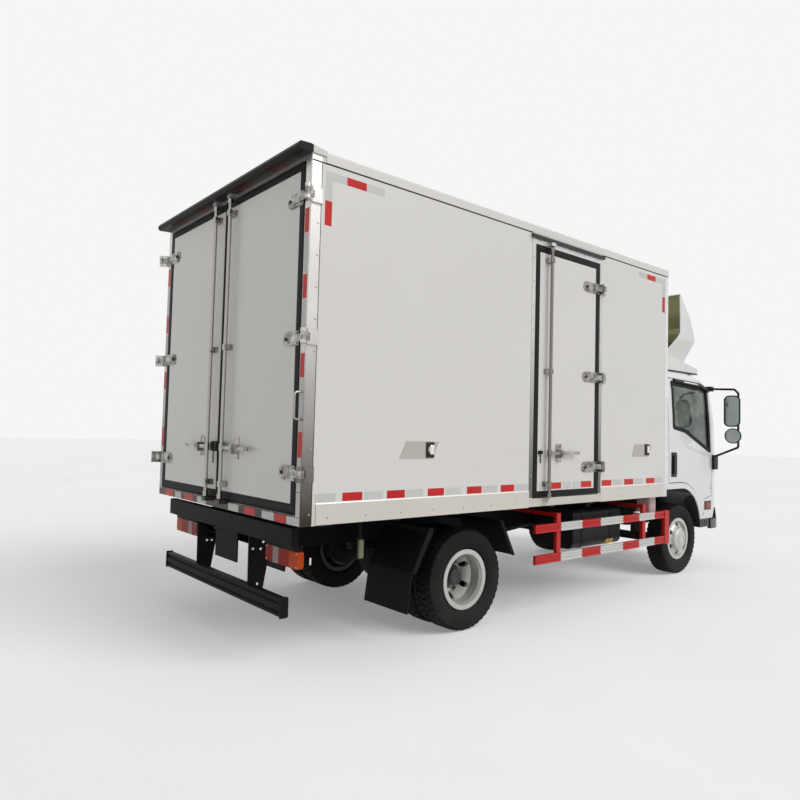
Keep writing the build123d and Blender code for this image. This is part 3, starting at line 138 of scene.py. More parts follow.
def placeParts(tree):
    coords = tree.nodes.new("ShaderNodeTexCoord").outputs["Object"]
    split = tree.nodes.new("ShaderNodeSeparateXYZ")
    link(tree, coords, split.inputs[0])
    across = mathNode(tree, "ABSOLUTE", split.outputs[1], 0.0)
    return coords, split.outputs[0], across, split.outputs[2]


def area(along=None, out=None, up=None, **look):
    return {"span": (along, out, up), **look}


def zoneFactor(tree, place, zone):
    # 1 inside the zone: ranges along the truck, out from its middle, and up, or a ring round an axle
    _, along, across, up = place
    factor = None
    for value, span in zip((along, across, up), zone["span"]):
        if span:
            above = mathNode(tree, "GREATER_THAN", value, span[0])
            below = mathNode(tree, "LESS_THAN", value, span[1])
            factor = product(tree, factor, mathNode(tree, "MULTIPLY", above, below))
    if "lean" in zone:  # across + slope * up, above a limit
        slope, limit = zone["lean"]
        leaning = mathNode(tree, "ADD", across, mathNode(tree, "MULTIPLY", up, slope))
        factor = product(tree, factor, mathNode(tree, "GREATER_THAN", leaning, limit))
    if "ring" in zone:
        centreX, centreZ, radius = zone["ring"]
        dx = mathNode(tree, "SUBTRACT", along, centreX)
        dz = mathNode(tree, "SUBTRACT", up, centreZ)
        squares = mathNode(tree, "ADD", mathNode(tree, "MULTIPLY", dx, dx), mathNode(tree, "MULTIPLY", dz, dz))
        factor = product(tree, factor, mathNode(tree, "LESS_THAN", squares, radius * radius))
    return factor


def stripeRamp(tree, place, stripes):
    ramp = tree.nodes.new("ShaderNodeValToRGB")
    ramp.color_ramp.interpolation = "CONSTANT"
    start, end = stripes["span"]
    source = place[1] if stripes["axis"] == "along" else place[2]
    link(tree, rangeNode(tree, source, start, end), ramp.inputs[0])
    elements = ramp.color_ramp.elements
    elements.remove(elements[1])
    elements[0].position = 0.0
    elements[0].color = (*stripes["stops"][0][1], 1.0)
    for position, stopColour in stripes["stops"][1:]:
        element = elements.new((position - start) / (end - start))
        element.color = (*stopColour, 1.0)
    return ramp.outputs[0]


# Shared by all finishes; noises are detail and roughness, or scale, detail and roughness
surface = {"grainNoise": (4.0, 0.5), "grainSpan": (0.3, 0.7), "patchNoise": (3.0, 0.6), "patchSpan": (0.32, 0.68),
           "filmColour": (0.30, 0.27, 0.23), "filmLow": 0.05, "speckleNoise": (9.0, 6.0, 0.7),
           "speckleSpan": (0.35, 0.65), "speckleAmount": (0.25, 1.0)}
finishes = {}


def addFinish(name, zones=(), stripes=None, **look):
    material = bpy.data.materials.new(name)
    material.use_nodes = True
    tree = material.node_tree
    shader = tree.nodes["Principled BSDF"]
    place = placeParts(tree)
    coords, _, _, up = place
    mapping = tree.nodes.new("ShaderNodeMapping")
    mapping.inputs["Scale"].default_value = look.get("stretch", (1, 1, 1))
    link(tree, coords, mapping.inputs["Vector"])
    grain = noiseNode(tree, mapping.outputs[0], look["grain"], *surface["grainNoise"])
    patches = noiseNode(tree, coords, look.get("patch", 1.7), *surface["patchNoise"])
    patchAmount = rangeNode(tree, patches, *surface["patchSpan"])
    colour = mixColour(tree, patchAmount, look["color"], look.get("tint", look["color"]))
    if stripes:
        where = zoneFactor(tree, place, stripes["where"]) if "where" in stripes else 1.0
        colour = mixColour(tree, where, colour, stripeRamp(tree, place, stripes))
    if "fade" in look:  # darker towards the ground: a painted reflection of dark ground in the bright steel
        lowEnd, highEnd, lowColour = look["fade"]
        colour = mixColour(tree, rangeNode(tree, up, lowEnd, highEnd), lowColour, colour)
    roughness = rangeNode(tree, grain, *surface["grainSpan"], *look["rough"])
    metallic = look.get("metallic", 0.0)
    for zone in zones:
        factor = zoneFactor(tree, place, zone)
        zoneColour = mixColour(tree, patchAmount, zone["color"], zone.get("tint", zone["color"]))
        colour = mixColour(tree, factor, colour, zoneColour)
        zoneRough = rangeNode(tree, grain, *surface["grainSpan"], *zone["rough"])
        roughness = mixNumber(tree, factor, roughness, zoneRough)
        metallic = mixNumber(tree, factor, metallic, zone.get("metallic", 0.0))
    if "film" in look:  # road film that fades out upwards
        amount, top = look["film"]
        height = rangeNode(tree, up, surface["filmLow"], top, amount, 0.0)
        speckle = noiseNode(tree, coords, *surface["speckleNoise"])
        speckle = rangeNode(tree, speckle, *surface["speckleSpan"], *surface["speckleAmount"])
        colour = mixColour(tree, mathNode(tree, "MULTIPLY", height, speckle), colour, surface["filmColour"])
    normal = bumpNode(tree, grain, look.get("bump", 0.15), look.get("depth", 0.0006))
    if "pattern" in look:  # a second, coarser relief such as ribs or a woven or diamond pattern
        direction, scale, strength, depth = look["pattern"]
        wave = tree.nodes.new("ShaderNodeTexWave")
        wave.bands_direction = direction
        wave.inputs["Scale"].default_value = scale
        link(tree, coords, wave.inputs["Vector"])
        normal = bumpNode(tree, wave.outputs["Fac"], strength, depth, normal)
    for socket, value in (("Base Color", colour), ("Roughness", roughness), ("Metallic", metallic),
                          ("Normal", normal), ("Specular IOR Level", look.get("gloss", 0.5)),
                          ("Coat Weight", look.get("coat", 0.0)), ("Alpha", look.get("alpha", 1.0)),
                          ("Coat Roughness", look.get("coatRough", 0.08)), ("Sheen Weight", look.get("sheen", 0.0))):
        feed(tree, shader.inputs[socket], value)
    finishes[name] = material


# Looks that several finishes share
black = (0.006, 0.006, 0.007)
signalRed = (0.50, 0.010, 0.010)
tapeWhite = (0.61, 0.605, 0.585)
# The hood's tape colours are painted shade: red and white tape darkened as it sits in the shade under the roof's edge
hoodRedTapeInShade = (0.055, 0.004, 0.004)
hoodWhiteTapeInShade = (0.030, 0.029, 0.020)
roughBlack = {"color": black, "rough": (0.5, 0.7)}
smoothBlack = {"color": black, "rough": (0.4, 0.6)}
wallWhite = {"color": (0.69, 0.672, 0.645), "tint": (0.71, 0.692, 0.665), "rough": (0.30, 0.38)}
boxPaint = {**wallWhite, "grain": 380.0, "bump": 0.05, "coat": 0.25, "patch": 0.9}
railSteel = {"color": (0.62, 0.59, 0.53), "tint": (0.66, 0.63, 0.57), "rough": (0.32, 0.45), "metallic": 0.35}
cabWhite = {"color": (0.72, 0.73, 0.72), "tint": (0.75, 0.755, 0.75), "grain": 900.0, "bump": 0.02,
            "rough": (0.20, 0.26), "coat": 0.7}
drawnSteel = {"grain": 420.0, "stretch": (6.0, 6.0, 0.12), "rough": (0.24, 0.42), "bump": 0.08, "patch": 3.0}
tapeGrain = {"grain": 90.0, "bump": 0.1, "rough": (0.26, 0.40), "coat": 0.08, "gloss": 0.25,
             "pattern": ("DIAGONAL", 55.0, 0.35, 0.0005)}
wheelPaint = {"metallic": 0.45, "grain": 260.0, "bump": 0.12, "rough": (0.28, 0.42), "coat": 0.3, "patch": 9.0,
              "film": (0.25, 0.7)}
postSide = ((alongBox(0.072), alongBox(0.2)), (1.1, 1.2))  # the strip of the rear post that is wall
railHeight = (0.80, 0.9885)
hoodRear = (-2.975, -2.899)
hoodBand = (3.0, 3.0685)
guardBands = [alongBox(start) for start in (2.10, 2.499, 2.792, 3.069, 3.416, 3.694, 3.965)]

addFinish("boxSkin", **boxPaint, film=(0.25, 1.3))
addFinish("wallSkin", **boxPaint, zones=(
    area(up=railHeight, **railSteel),
    area(up=(0.9885, 0.9965), color=(0.86, 0.86, 0.84), rough=(0.2, 0.3), metallic=0.8)))
addFinish("cabPaint", **cabWhite, film=(0.22, 1.0), zones=(
    area(up=(0.0, 0.5492), **roughBlack),
    area(out=(0.0, 0.9045), ring=(1.915, 0.490, 0.4155), **roughBlack),
    area((2.90, 2.9632), (0.0, 0.432), (0.768, 0.952), **smoothBlack)))
addFinish("bumperPaint", **cabWhite, film=(0.3, 0.8), zones=(
    area((2.5, 2.915), (0.70, 1.0), color=(0.010, 0.010, 0.0105), tint=(0.02, 0.02, 0.02), rough=(0.5, 0.7)),))
addFinish("doorPaint", **cabWhite, film=(0.22, 1.0), zones=(
    area((1.70, 1.82), (0.9062, 0.95), (1.03, 1.28), color=black, rough=(0.4, 0.55)),
    area((1.79, 2.59), None, (1.9, 2.2), lean=(0.2, 1.2642), color=(0.010, 0.011, 0.012), rough=(0.08, 0.16))))
# The rear door frame's steel darkens towards the ground as a painted reflection of dark ground
addFinish("stainless", **drawnSteel, color=(0.60, 0.585, 0.56), tint=(0.68, 0.665, 0.64), metallic=0.85,
          fade=(0.9, 2.1, (0.052, 0.042, 0.033)), zones=(
    area(*postSide, **wallWhite),
    area(*postSide, railHeight, **railSteel),
    area((-2.4, 1.2), (1.1, 1.2), (1.1, 1.5), color=(0.47, 0.43, 0.395), tint=(0.50, 0.465, 0.43),
         rough=(0.35, 0.5), metallic=0.2)))
# The side door frame's steel darkens towards the ground as a painted reflection of dark ground
addFinish("sideFrameSteel", **drawnSteel, color=(0.58, 0.57, 0.55), tint=(0.66, 0.655, 0.64), metallic=0.92,
          fade=(1.10, 2.20, (0.17, 0.165, 0.155)), zones=(
    area(None, (1.109, 1.2), (2.968, 3.001), color=black, rough=(0.45, 0.6)),
    area(None, (1.0, 1.2), (0.80, 0.940), color=(0.56, 0.53, 0.47), tint=(0.62, 0.59, 0.53),
         rough=(0.32, 0.45), metallic=0.35)))
addFinish("brightTrim", color=(0.78, 0.78, 0.76), tint=(0.84, 0.84, 0.82), metallic=0.75, grain=500.0,
          stretch=(0.2, 6.0, 0.2), rough=(0.22, 0.34), bump=0.06)
addFinish("rivetSteel", color=(0.30, 0.29, 0.28), tint=(0.42, 0.41, 0.40), metallic=0.9, grain=300.0,
          rough=(0.25, 0.40), bump=0.05)
# The hardware steel's strong dark and light patches are painted reflections, standing in for the hinges' highlights
# and dark edges
addFinish("hardwareSteel", color=(0.13, 0.12, 0.105), tint=(0.52, 0.51, 0.49), metallic=1.0, grain=260.0,
          rough=(0.10, 0.26), bump=0.06, patch=19.0, zones=(  # the lock rods are plainer than the straps
    area((-2.96, -2.90), (0.098, 0.132), color=(0.40, 0.385, 0.36), rough=(0.16, 0.30), metallic=1.0),
    area((-0.672, -0.638), (1.12, 1.16), color=(0.24, 0.215, 0.19), rough=(0.16, 0.30), metallic=1.0)))
# The hood's face is near black, partly its own dark finish and partly painted shade under the roof's edge; its tape
# bands are painted in shade
addFinish("hoodBlack", color=(0.010, 0.008, 0.008), tint=(0.018, 0.015, 0.014), grain=240.0, bump=0.25,
          rough=(0.35, 0.55), patch=3.0, gloss=0.12, zones=[
    area((-2.893, 3.0), color=wallWhite["color"], rough=(0.3, 0.38))] + [
    area(hoodRear, (start, end), hoodBand, color=colour, rough=(0.35, 0.45)) for start, end, colour in (
        (0.23, 0.39, hoodRedTapeInShade), (0.39, 0.68, hoodWhiteTapeInShade), (0.68, 0.83, hoodRedTapeInShade), (0.83, 0.98, hoodWhiteTapeInShade))])
addFinish("gasketRubber", color=(0.004, 0.004, 0.0045), tint=(0.008, 0.008, 0.008), grain=600.0, bump=0.3,
          rough=(0.5, 0.7), gloss=0.2)
addFinish("redTape", **tapeGrain, color=signalRed, tint=(0.60, 0.02, 0.018))
addFinish("whiteTape", **tapeGrain, color=tapeWhite, tint=(0.55, 0.55, 0.535))
addFinish("chassisPaint", color=black, tint=(0.011, 0.0105, 0.010), grain=120.0, bump=0.25, rough=(0.38, 0.6),
          film=(0.02, 0.8), gloss=0.07)
addFinish("castIron", color=(0.009, 0.009, 0.009), tint=(0.018, 0.016, 0.014), grain=160.0, bump=0.5,
          depth=0.001, rough=(0.5, 0.75), film=(0.08, 0.8), gloss=0.15)
addFinish("tankPaint", color=(0.008, 0.008, 0.0085), tint=(0.015, 0.015, 0.015), grain=200.0, bump=0.15,
          rough=(0.30, 0.48), film=(0.03, 0.8), gloss=0.16, zones=(  # the fluid bottle and a yellow label
    area((1.09, 1.22), (0.84, 1.02), (0.69, 0.86), color=(0.62, 0.52, 0.52), tint=(0.66, 0.40, 0.42),
         rough=(0.3, 0.45)),
    area((0.525, 0.640), (0.840, 0.906), (0.428, 0.484), color=(0.62, 0.40, 0.03), rough=(0.35, 0.5))))
addFinish("floorPlate", color=(0.55, 0.55, 0.53), tint=(0.62, 0.62, 0.60), metallic=0.7, grain=90.0,
          rough=(0.35, 0.55), bump=0.3, zones=(area(up=(0.70, 0.8645), color=black, rough=(0.45, 0.65)),))
addFinish("flapRubber", color=(0.0045, 0.0045, 0.0045), tint=(0.009, 0.0085, 0.008), grain=300.0, bump=0.4,
          rough=(0.5, 0.72), film=(0.03, 0.6), gloss=0.12)
addFinish("guardPaint", color=signalRed, tint=(0.56, 0.016, 0.014), grain=180.0, bump=0.12, rough=(0.28, 0.42),
          coat=0.08, gloss=0.25, film=(0.08, 0.7), stripes={
    "axis": "along", "span": (alongBox(2.10), alongBox(4.30)), "where": area(out=(1.0485, 1.2)),
    "stops": [(start, (signalRed, tapeWhite)[i % 2]) for i, start in enumerate(guardBands)]})
addFinish("tailLens", color=signalRed, grain=60.0, bump=0.05, rough=(0.16, 0.26), gloss=0.10,
          pattern=("Z", 40.0, 0.5, 0.0012), stripes={"axis": "across", "span": (0.50, 0.94), "stops": [
    (0.50, (0.26, 0.005, 0.004)), (0.632, (0.34, 0.25, 0.23)), (0.708, (0.30, 0.005, 0.004)),
    (0.828, (0.50, 0.060, 0.008))]})
addFinish("headlampLens", color=(0.34, 0.37, 0.39), tint=(0.70, 0.72, 0.74), metallic=0.55, grain=40.0,
          rough=(0.05, 0.14), coat=1.0, bump=0.1, pattern=("Y", 32.0, 0.6, 0.002), zones=(
    area(out=(0.735, 0.95), color=(0.75, 0.16, 0.01), rough=(0.08, 0.16)),))
# The glass's lighter greenish patches are painted reflections on the dark glass
addFinish("windowGlass", color=(0.010, 0.015, 0.014), tint=(0.190, 0.220, 0.185), grain=6.0,
          rough=(0.015, 0.05), bump=0.01, alpha=0.86, coat=0.3, coatRough=0.02, patch=5.0)
addFinish("mirrorGlass", color=(0.22, 0.25, 0.25), tint=(0.32, 0.34, 0.34), metallic=1.0, grain=8.0,
          rough=(0.02, 0.06), bump=0.01)
addFinish("trimPlastic", color=(0.006, 0.006, 0.0065), tint=(0.010, 0.010, 0.0105), grain=420.0, bump=0.35,
          rough=(0.32, 0.5), gloss=0.3)
addFinish("unitShell", color=(0.68, 0.69, 0.69), tint=(0.72, 0.73, 0.73), grain=260.0, bump=0.15,
          rough=(0.3, 0.42), coat=0.3, zones=(  # painted shade inside the fan openings and the side slots, which are not cut
    area((1.58, 1.638), (0.14, 0.50), (2.57, 2.91), **smoothBlack),
    area((1.30, 1.58), (0.6625, 0.6735), (2.55, 2.92), **smoothBlack)))
addFinish("deflectorPaint", color=(0.69, 0.69, 0.67), tint=(0.73, 0.73, 0.71), grain=500.0, bump=0.04,
          rough=(0.22, 0.32), coat=0.5, zones=(
    area((2.098, 2.122), (0.0, 0.7925), (2.575, 2.645), color=(0.40, 0.39, 0.24), rough=(0.4, 0.6)),))
# The liner's colour is raised above its own as painted light coming through the shell, and its lighter top band is
# painted light through the shell
addFinish("linerGreen", color=(0.45, 0.48, 0.20), tint=(0.52, 0.54, 0.26), grain=60.0, bump=0.4,
          rough=(0.45, 0.65), patch=5.0, zones=(
    area(up=(2.835, 2.905), color=(0.55, 0.55, 0.32), rough=(0.4, 0.6)),
    area(up=(2.30, 2.575), color=(0.22, 0.16, 0.08), tint=(0.27, 0.21, 0.11), rough=(0.5, 0.7))))
addFinish("seatCloth", color=(0.035, 0.036, 0.040), tint=(0.055, 0.056, 0.062), grain=700.0, bump=0.6,
          depth=0.0012, rough=(0.75, 0.95), sheen=0.35, pattern=("X", 90.0, 0.4, 0.0008))
addFinish("dashPlastic", color=(0.045, 0.045, 0.048), tint=(0.065, 0.064, 0.066), grain=500.0, bump=0.5,
          rough=(0.5, 0.7))
addFinish("rimSilver", **wheelPaint, color=(0.56, 0.555, 0.54), tint=(0.64, 0.635, 0.62), zones=(
    area(out=(0.0, 0.835), ring=(truck["frontAxle"], truck["axleHeight"], 0.156), **roughBlack),))
addFinish("twinRim", **wheelPaint, color=(0.52, 0.515, 0.50), tint=(0.60, 0.595, 0.58), zones=(
    area(ring=(truck["rearAxle"], truck["axleHeight"], 0.096), color=(0.008, 0.008, 0.009),
         tint=(0.016, 0.0155, 0.015), rough=(0.4, 0.6), metallic=0.3),
    # Inward of the outer rim all is black: the brake drum's own dark colour, and painted shade over the inner twin
    # rim
    area(out=(0.0, 0.775), **roughBlack)))
addFinish("nutSteel", color=(0.09, 0.088, 0.085), tint=(0.16, 0.155, 0.15), metallic=0.9, grain=300.0,
          bump=0.3, rough=(0.3, 0.5))
addFinish("tyreRubber", color=(0.0055, 0.0055, 0.006), tint=(0.011, 0.0105, 0.010), grain=340.0, bump=0.45,
          depth=0.0008, rough=(0.55, 0.8), patch=5.0, film=(0.06, 0.5), gloss=0.15)
addFinish("sideLampLens", color=(0.20, 0.020, 0.012), tint=(0.30, 0.035, 0.014), grain=60.0,
          rough=(0.12, 0.22), coat=0.2, gloss=0.3, pattern=("X", 70.0, 0.5, 0.001))
addFinish("markerOlive", color=(0.13, 0.135, 0.075), tint=(0.20, 0.20, 0.11), grain=90.0, bump=0.2,
          rough=(0.3, 0.45))
print("finishes made", len(finishes))

finishNodes = {
    "boxSkin": "box_front_wall box_roof side_door rear_door_right rear_door_left", "wallSkin": "box_side_walls",
    "cabPaint": "cab_shell", "bumperPaint": "front_bumper", "doorPaint": "cab_door_right cab_door_left",
    "stainless": "rear_door_frame", "sideFrameSteel": "side_door_frame", "hoodBlack": "roof_hood",
    "hardwareSteel": "side_door_hardware rear_door_right_hardware rear_door_left_hardware",
    "castIron": "front_axle rear_axle engine_block knuckle_right knuckle_left",
    "chassisPaint": "chassis_frame rear_underrun", "tankPaint": "fuel_tank", "floorPlate": "box_floor",
    "flapRubber": "rear_mudguards", "guardPaint": "side_guards", "tailLens": "tail_lamps",
    "headlampLens": "headlamps", "windowGlass": "windscreen cab_door_right_glass cab_door_left_glass",
    "trimPlastic": "mirrors", "dashPlastic": "dashboard", "unitShell": "refrigeration_unit",
    "deflectorPaint": "roof_deflector", "rimSilver": "front_rim_right front_rim_left",
    "twinRim": "rear_rims_right rear_rims_left",
}
for finishName, nodeNames in finishNodes.items():
    for nodeName in nodeNames.split():
        mesh = nodes[nodeName].data
        mesh.materials.clear()
        mesh.materials.append(finishes[finishName])
print("nodes dressed")


# Modelling helpers


def edgesOf(verts):
    # Each edge once, in a fixed order
    return list(dict.fromkeys(edge for vert in verts for edge in vert.link_edges))


def bevelParts(bm, geom, offset, segments, affect="EDGES", clamp=False):
    bmesh.ops.bevel(bm, geom=geom, offset=offset, offset_type="OFFSET", segments=segments, profile=0.5,
                    affect=affect, material=-1, clamp_overlap=clamp)


def addBar(bm, low, high, bevel=0.0, segments=1):
    size = [abs(b - a) for a, b in zip(low, high)]
    centre = [(a + b) / 2 for a, b in zip(low, high)]
    made = bmesh.ops.create_cube(bm, size=1.0, matrix=Matrix.Translation(centre) @ Matrix.Diagonal((*size, 1.0)))
    if bevel:
        bevelParts(bm, edgesOf(made["verts"]), bevel, segments, clamp=True)


def addSpanBar(bm, side, x, y, z, bevel=0.0, segments=1):
    # A bar from three ranges, with y counted outwards on one side of the truck
    addBar(bm, (x[0], side * y[0], z[0]), (x[1], side * y[1], z[1]), bevel, segments)


def addBlock(bm, side, place, spans, bevel, segments):
    # The same, with the ranges counted from a place
    ends = [(at + low, at + high) for at, (low, high) in zip(place, spans)]
    addSpanBar(bm, side, *ends, bevel, segments)


def towards(direction):
    return Vector(direction).normalized().to_track_quat("Z", "Y").to_matrix().to_4x4()


def addRod(bm, start, end, radius, segments, endRadius=None):
    start, end = Vector(start), Vector(end)
    matrix = Matrix.Translation((start + end) / 2) @ towards(end - start)
    bmesh.ops.create_cone(bm, cap_ends=True, segments=segments, radius1=radius,
                          radius2=radius if endRadius is None else endRadius, depth=(end - start).length,
                          matrix=matrix)


def addRivet(bm, place, direction, radius, height):
    matrix = Matrix.Translation(place) @ towards(direction) @ Matrix.Diagonal((1.0, 1.0, height / radius, 1.0))
    bmesh.ops.create_uvsphere(bm, u_segments=8, v_segments=4, radius=radius, matrix=matrix)


nutShape = {"straight": 0.75, "top": 0.78, "stud": 0.42, "studTip": 0.36}  # shares of its height or radius


def addNut(bm, place, direction, radius, height, stud=0.0):
    place, way = Vector(place), Vector(direction).normalized()
    edge, top = place + way * height * nutShape["straight"], place + way * height
    addRod(bm, place, edge, radius, 6)
    addRod(bm, edge, top, radius, 6, radius * nutShape["top"])
    if stud:
        addRod(bm, top, place + way * (height + stud), radius * nutShape["stud"], 10, radius * nutShape["studTip"])


def addSpin(bm, points, centre, steps):
    # Turns a closed loop of (outward, radius) points about a wheel's line
    verts = [bm.verts.new((centre[0], centre[1] + out, centre[2] + radius)) for out, radius in points]
    edges = [bm.edges.new((verts[i], verts[(i + 1) % len(verts)])) for i in range(len(verts))]
    bmesh.ops.spin(bm, geom=verts + edges, cent=centre, axis=(0, 1, 0), dvec=(0, 0, 0), angle=2 * math.pi,
                   steps=steps, use_merge=True, use_normal_flip=False, use_duplicate=False)


def closeMesh(name, bm):
    mesh = bpy.data.meshes.new(name)
    bm.to_mesh(mesh)
    bm.free()
    return mesh


def addObject(name, data):
    thing = bpy.data.objects.new(name, data)
    bpy.context.scene.collection.objects.link(thing)
    return thing


def makePiece(name, bm, body, finishName, smooth=True, angle=35.0):
    bmesh.ops.recalc_face_normals(bm, faces=bm.faces)
    mesh = closeMesh(name, bm)
    mesh.materials.append(finishes[finishName])
    if smooth:
        mesh.shade_smooth()
        mesh.set_sharp_from_angle(angle=math.radians(angle))
    piece = addObject(name, mesh)
    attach(piece, body)
    return piece


# Reflective tape: starts and marks are counted along the box, from its rear
tape = {"thick": 0.0008, "bevel": 0.0004}
sideTape = {
    "up": (0.998, 1.049), "length": 0.150, "whiteDoorLength": 0.105,
    "red": (0.288, 0.632, 0.983, 1.357, 1.713, 3.018, 3.376, 3.747),
    "white": (0.088, 0.450, 0.790, 1.145, 1.520, 1.872, 3.190, 3.545, 3.905),
    "redLeft": (2.070, 2.420, 2.700), "whiteLeft": (2.235, 2.560, 2.865),  # where the right side has its door
    "redDoor": (2.294, 2.715), "whiteDoor": (2.160, 2.470, 2.600),
    # Corner marks: a short L at the rear top and at the front top
    "redMarks": ((0.255, 0.405, 2.918, 2.968), (0.100, 0.150, 2.640, 2.790), (3.740, 3.890, 2.925, 2.975),
                 (4.020, 4.070, 2.650, 2.800)),
    "whiteMarks": ((0.100, 0.250, 2.918, 2.968), (0.100, 0.150, 2.795, 2.915), (0.410, 0.550, 2.918, 2.968),
                   (3.895, 4.070, 2.925, 2.975), (4.020, 4.070, 2.805, 2.922), (3.590, 3.735, 2.925, 2.975)),
}
rearTape = {
    "sill": (0.864, 0.912), "post": (1.049, 1.094),
    "redSill": ((-0.946, -0.804), (-0.560, -0.412), (0.792, 0.967), (0.413, 0.574)),
    "whiteSill": ((-1.096, -0.950), (-0.800, -0.650), (-0.329, -0.178), (0.179, 0.336), (0.640, 0.760)),
    "redPost": ((2.580, 2.727), (2.189, 2.333), (1.725, 1.867), (1.260, 1.407)),
    "whitePost": ((2.337, 2.576), (1.990, 2.185), (1.500, 1.721), (1.060, 1.256), (0.915, 1.056)),
}
rearFace = truck["boxRear"]
wallOut = truck["boxHalf"]


def makeSideTape(name, side, body, colour, rows):
    bm = bmesh.new()
    for start, end, low, high in rows:
        addSpanBar(bm, side, (alongBox(start), alongBox(end)), (wallOut, wallOut + tape["thick"]), (low, high),
                   tape["bevel"])
    makePiece(name, bm, body, colour + "Tape", smooth=False)


def tapeRows(starts, length=sideTape["length"]):
    return [(start, start + length, *sideTape["up"]) for start in starts]


for side, name in sides:
    for colour in ("red", "white"):
        starts = sideTape[colour] + (sideTape[colour + "Left"] if side == 1 else ())
        makeSideTape(f"{colour}SideTape_{name}", side, "chassis", colour,
                     tapeRows(starts) + list(sideTape[colour + "Marks"]))
    if side == -1:
        makeSideTape("redDoorTape", side, "side_box_door", "red", tapeRows(sideTape["redDoor"]))
        makeSideTape("whiteDoorTape", side, "side_box_door", "white",
                     tapeRows(sideTape["whiteDoor"], sideTape["whiteDoorLength"]))
for colour in ("red", "white"):
    bm = bmesh.new()
    depth = (rearFace - tape["thick"], rearFace)
    for out in rearTape[colour + "Sill"]:
        addSpanBar(bm, 1, depth, out, rearTape["sill"], tape["bevel"])
    for side, _ in sides:
        for up in rearTape[colour + "Post"]:
            addSpanBar(bm, side, depth, rearTape["post"], up, tape["bevel"])
    makePiece(f"{colour}RearTape", bm, "chassis", colour + "Tape", smooth=False)
print("tapes laid")

# Rivets, corner trims and seams of the box, with places counted along it from its rear
rivets = {
    "pitch": 0.190, "radius": 0.0068, "height": 0.0030,
    # Columns are (along, proud, first, last), rows are (first, last, step, proud, up)
    "columns": ((0.056, 0.0, 0.93, 3.0), (4.112, 0.0016, 1.05, 3.0)),
    "railRow": (0.18, 4.03, 0.285, 0.005, 0.905), "doorGap": (1.995, 3.025),
    "frameColumns": ((2.055, 0.003, 0.92, 2.93), (2.978, 0.003, 0.92, 2.93)),
    "frameRow": (2.12, 2.95, 0.20, 0.003, 2.954),
    "sill": (0.3546, 0.7683, 1.03425), "sillUp": 0.918, "sillRadius": 0.00544,
}
bm = bmesh.new()


def addBoxRivet(side, along, proud, up):
    addRivet(bm, (alongBox(along), side * (wallOut + proud), up), (0, side, 0), rivets["radius"], rivets["height"])


def addRivetColumns(side, columns):
    for along, proud, first, last in columns:
        for up in spread(first, last, rivets["pitch"]):
            addBoxRivet(side, along, proud, up)


def addRivetRow(side, row, gap=(0.0, 0.0)):
    first, last, step, proud, up = row
    for along in spread(first, last, step):
        if not gap[0] < along < gap[1]:
            addBoxRivet(side, along, proud, up)


addRivetColumns(-1, rivets["columns"] + rivets["frameColumns"])
addRivetColumns(1, rivets["columns"])
addRivetRow(-1, rivets["railRow"], rivets["doorGap"])
addRivetRow(1, rivets["railRow"])
addRivetRow(-1, rivets["frameRow"])
for side, _ in sides:
    for out in rivets["sill"]:
        addRivet(bm, (rearFace, side * out, rivets["sillUp"]), (-1, 0, 0), rivets["sillRadius"], rivets["height"])
makePiece("boxRivets", bm, "chassis", "rivetSteel")

cornerTrim = {"width": 0.046, "thick": 0.0016, "up": (0.996, 3.012), "bevel": 0.0005}
sealLine = {"roof": (3.0065, 3.0135), "roofRear": 0.003, "roofProud": 0.0022, "post": (0.071, 0.0745),
            "postUp": (0.870, 3.006), "postProud": 0.0012, "roofBevel": 0.0006, "postBevel": 0.0004}
trims, seals = bmesh.new(), bmesh.new()
for side, _ in sides:
    front = truck["boxFront"]
    wide, thick = cornerTrim["width"], cornerTrim["thick"]
    addSpanBar(trims, side, (front - wide, front + thick), (wallOut, wallOut + thick), cornerTrim["up"],
               cornerTrim["bevel"])
    addSpanBar(trims, side, (front, front + thick), (wallOut - wide, wallOut), cornerTrim["up"],
               cornerTrim["bevel"])
    # The dark sealing line under the roof cap, and the seam beside the rear post
    addSpanBar(seals, side, (alongBox(sealLine["roofRear"]), front), (wallOut, wallOut + sealLine["roofProud"]),
               sealLine["roof"], sealLine["roofBevel"])
    addSpanBar(seals, side, [alongBox(end) for end in sealLine["post"]],
               (wallOut, wallOut + sealLine["postProud"]), sealLine["postUp"], sealLine["postBevel"])
makePiece("boxCornerTrims", trims, "chassis", "brightTrim")
makePiece("boxSealLines", seals, "chassis", "gasketRubber")

# Door gaskets: ends are (low across, high across, low, high), widths are left, right, low, high
gasket = {
    "front": 0.0049, "sink": 0.0048, "corner": 0.0015,
    "lipInset": 0.010, "lipBase": 0.0005, "lip": 0.0012, "lipEdge": 0.0008,
    "rearEnds": (0.0045, 1.0405, 0.9312, 3.0190), "rearWidths": (0.0255, 0.0550, 0.0545, 0.0500),
    "sideEnds": (2.0840, 2.9490, 0.9410, 2.9210), "sideWidths": (0.0500, 0.0500, 0.0470, 0.0470),
}


def addGasketFrame(bm, place, ends, widths):
    # place turns (across, up, depth) into a point
    a0, a1, z0, z1 = ends
    left, right, low, high = widths
    inset, sink = gasket["lipInset"], gasket["sink"]
    for b0, b1, c0, c1 in ((a0, a1, z0, z0 + low), (a0, a1, z1 - high, z1),
                           (a0, a0 + left, z0 + low, z1 - high), (a1 - right, a1, z0 + low, z1 - high)):
        addBar(bm, place(b0, c0, 0.0), place(b1, c1, sink), gasket["corner"], 2)
        addBar(bm, place(b0 + inset, c0 + inset, sink - gasket["lipBase"]),
               place(b1 - inset, c1 - inset, sink + gasket["lip"]), gasket["lipEdge"])


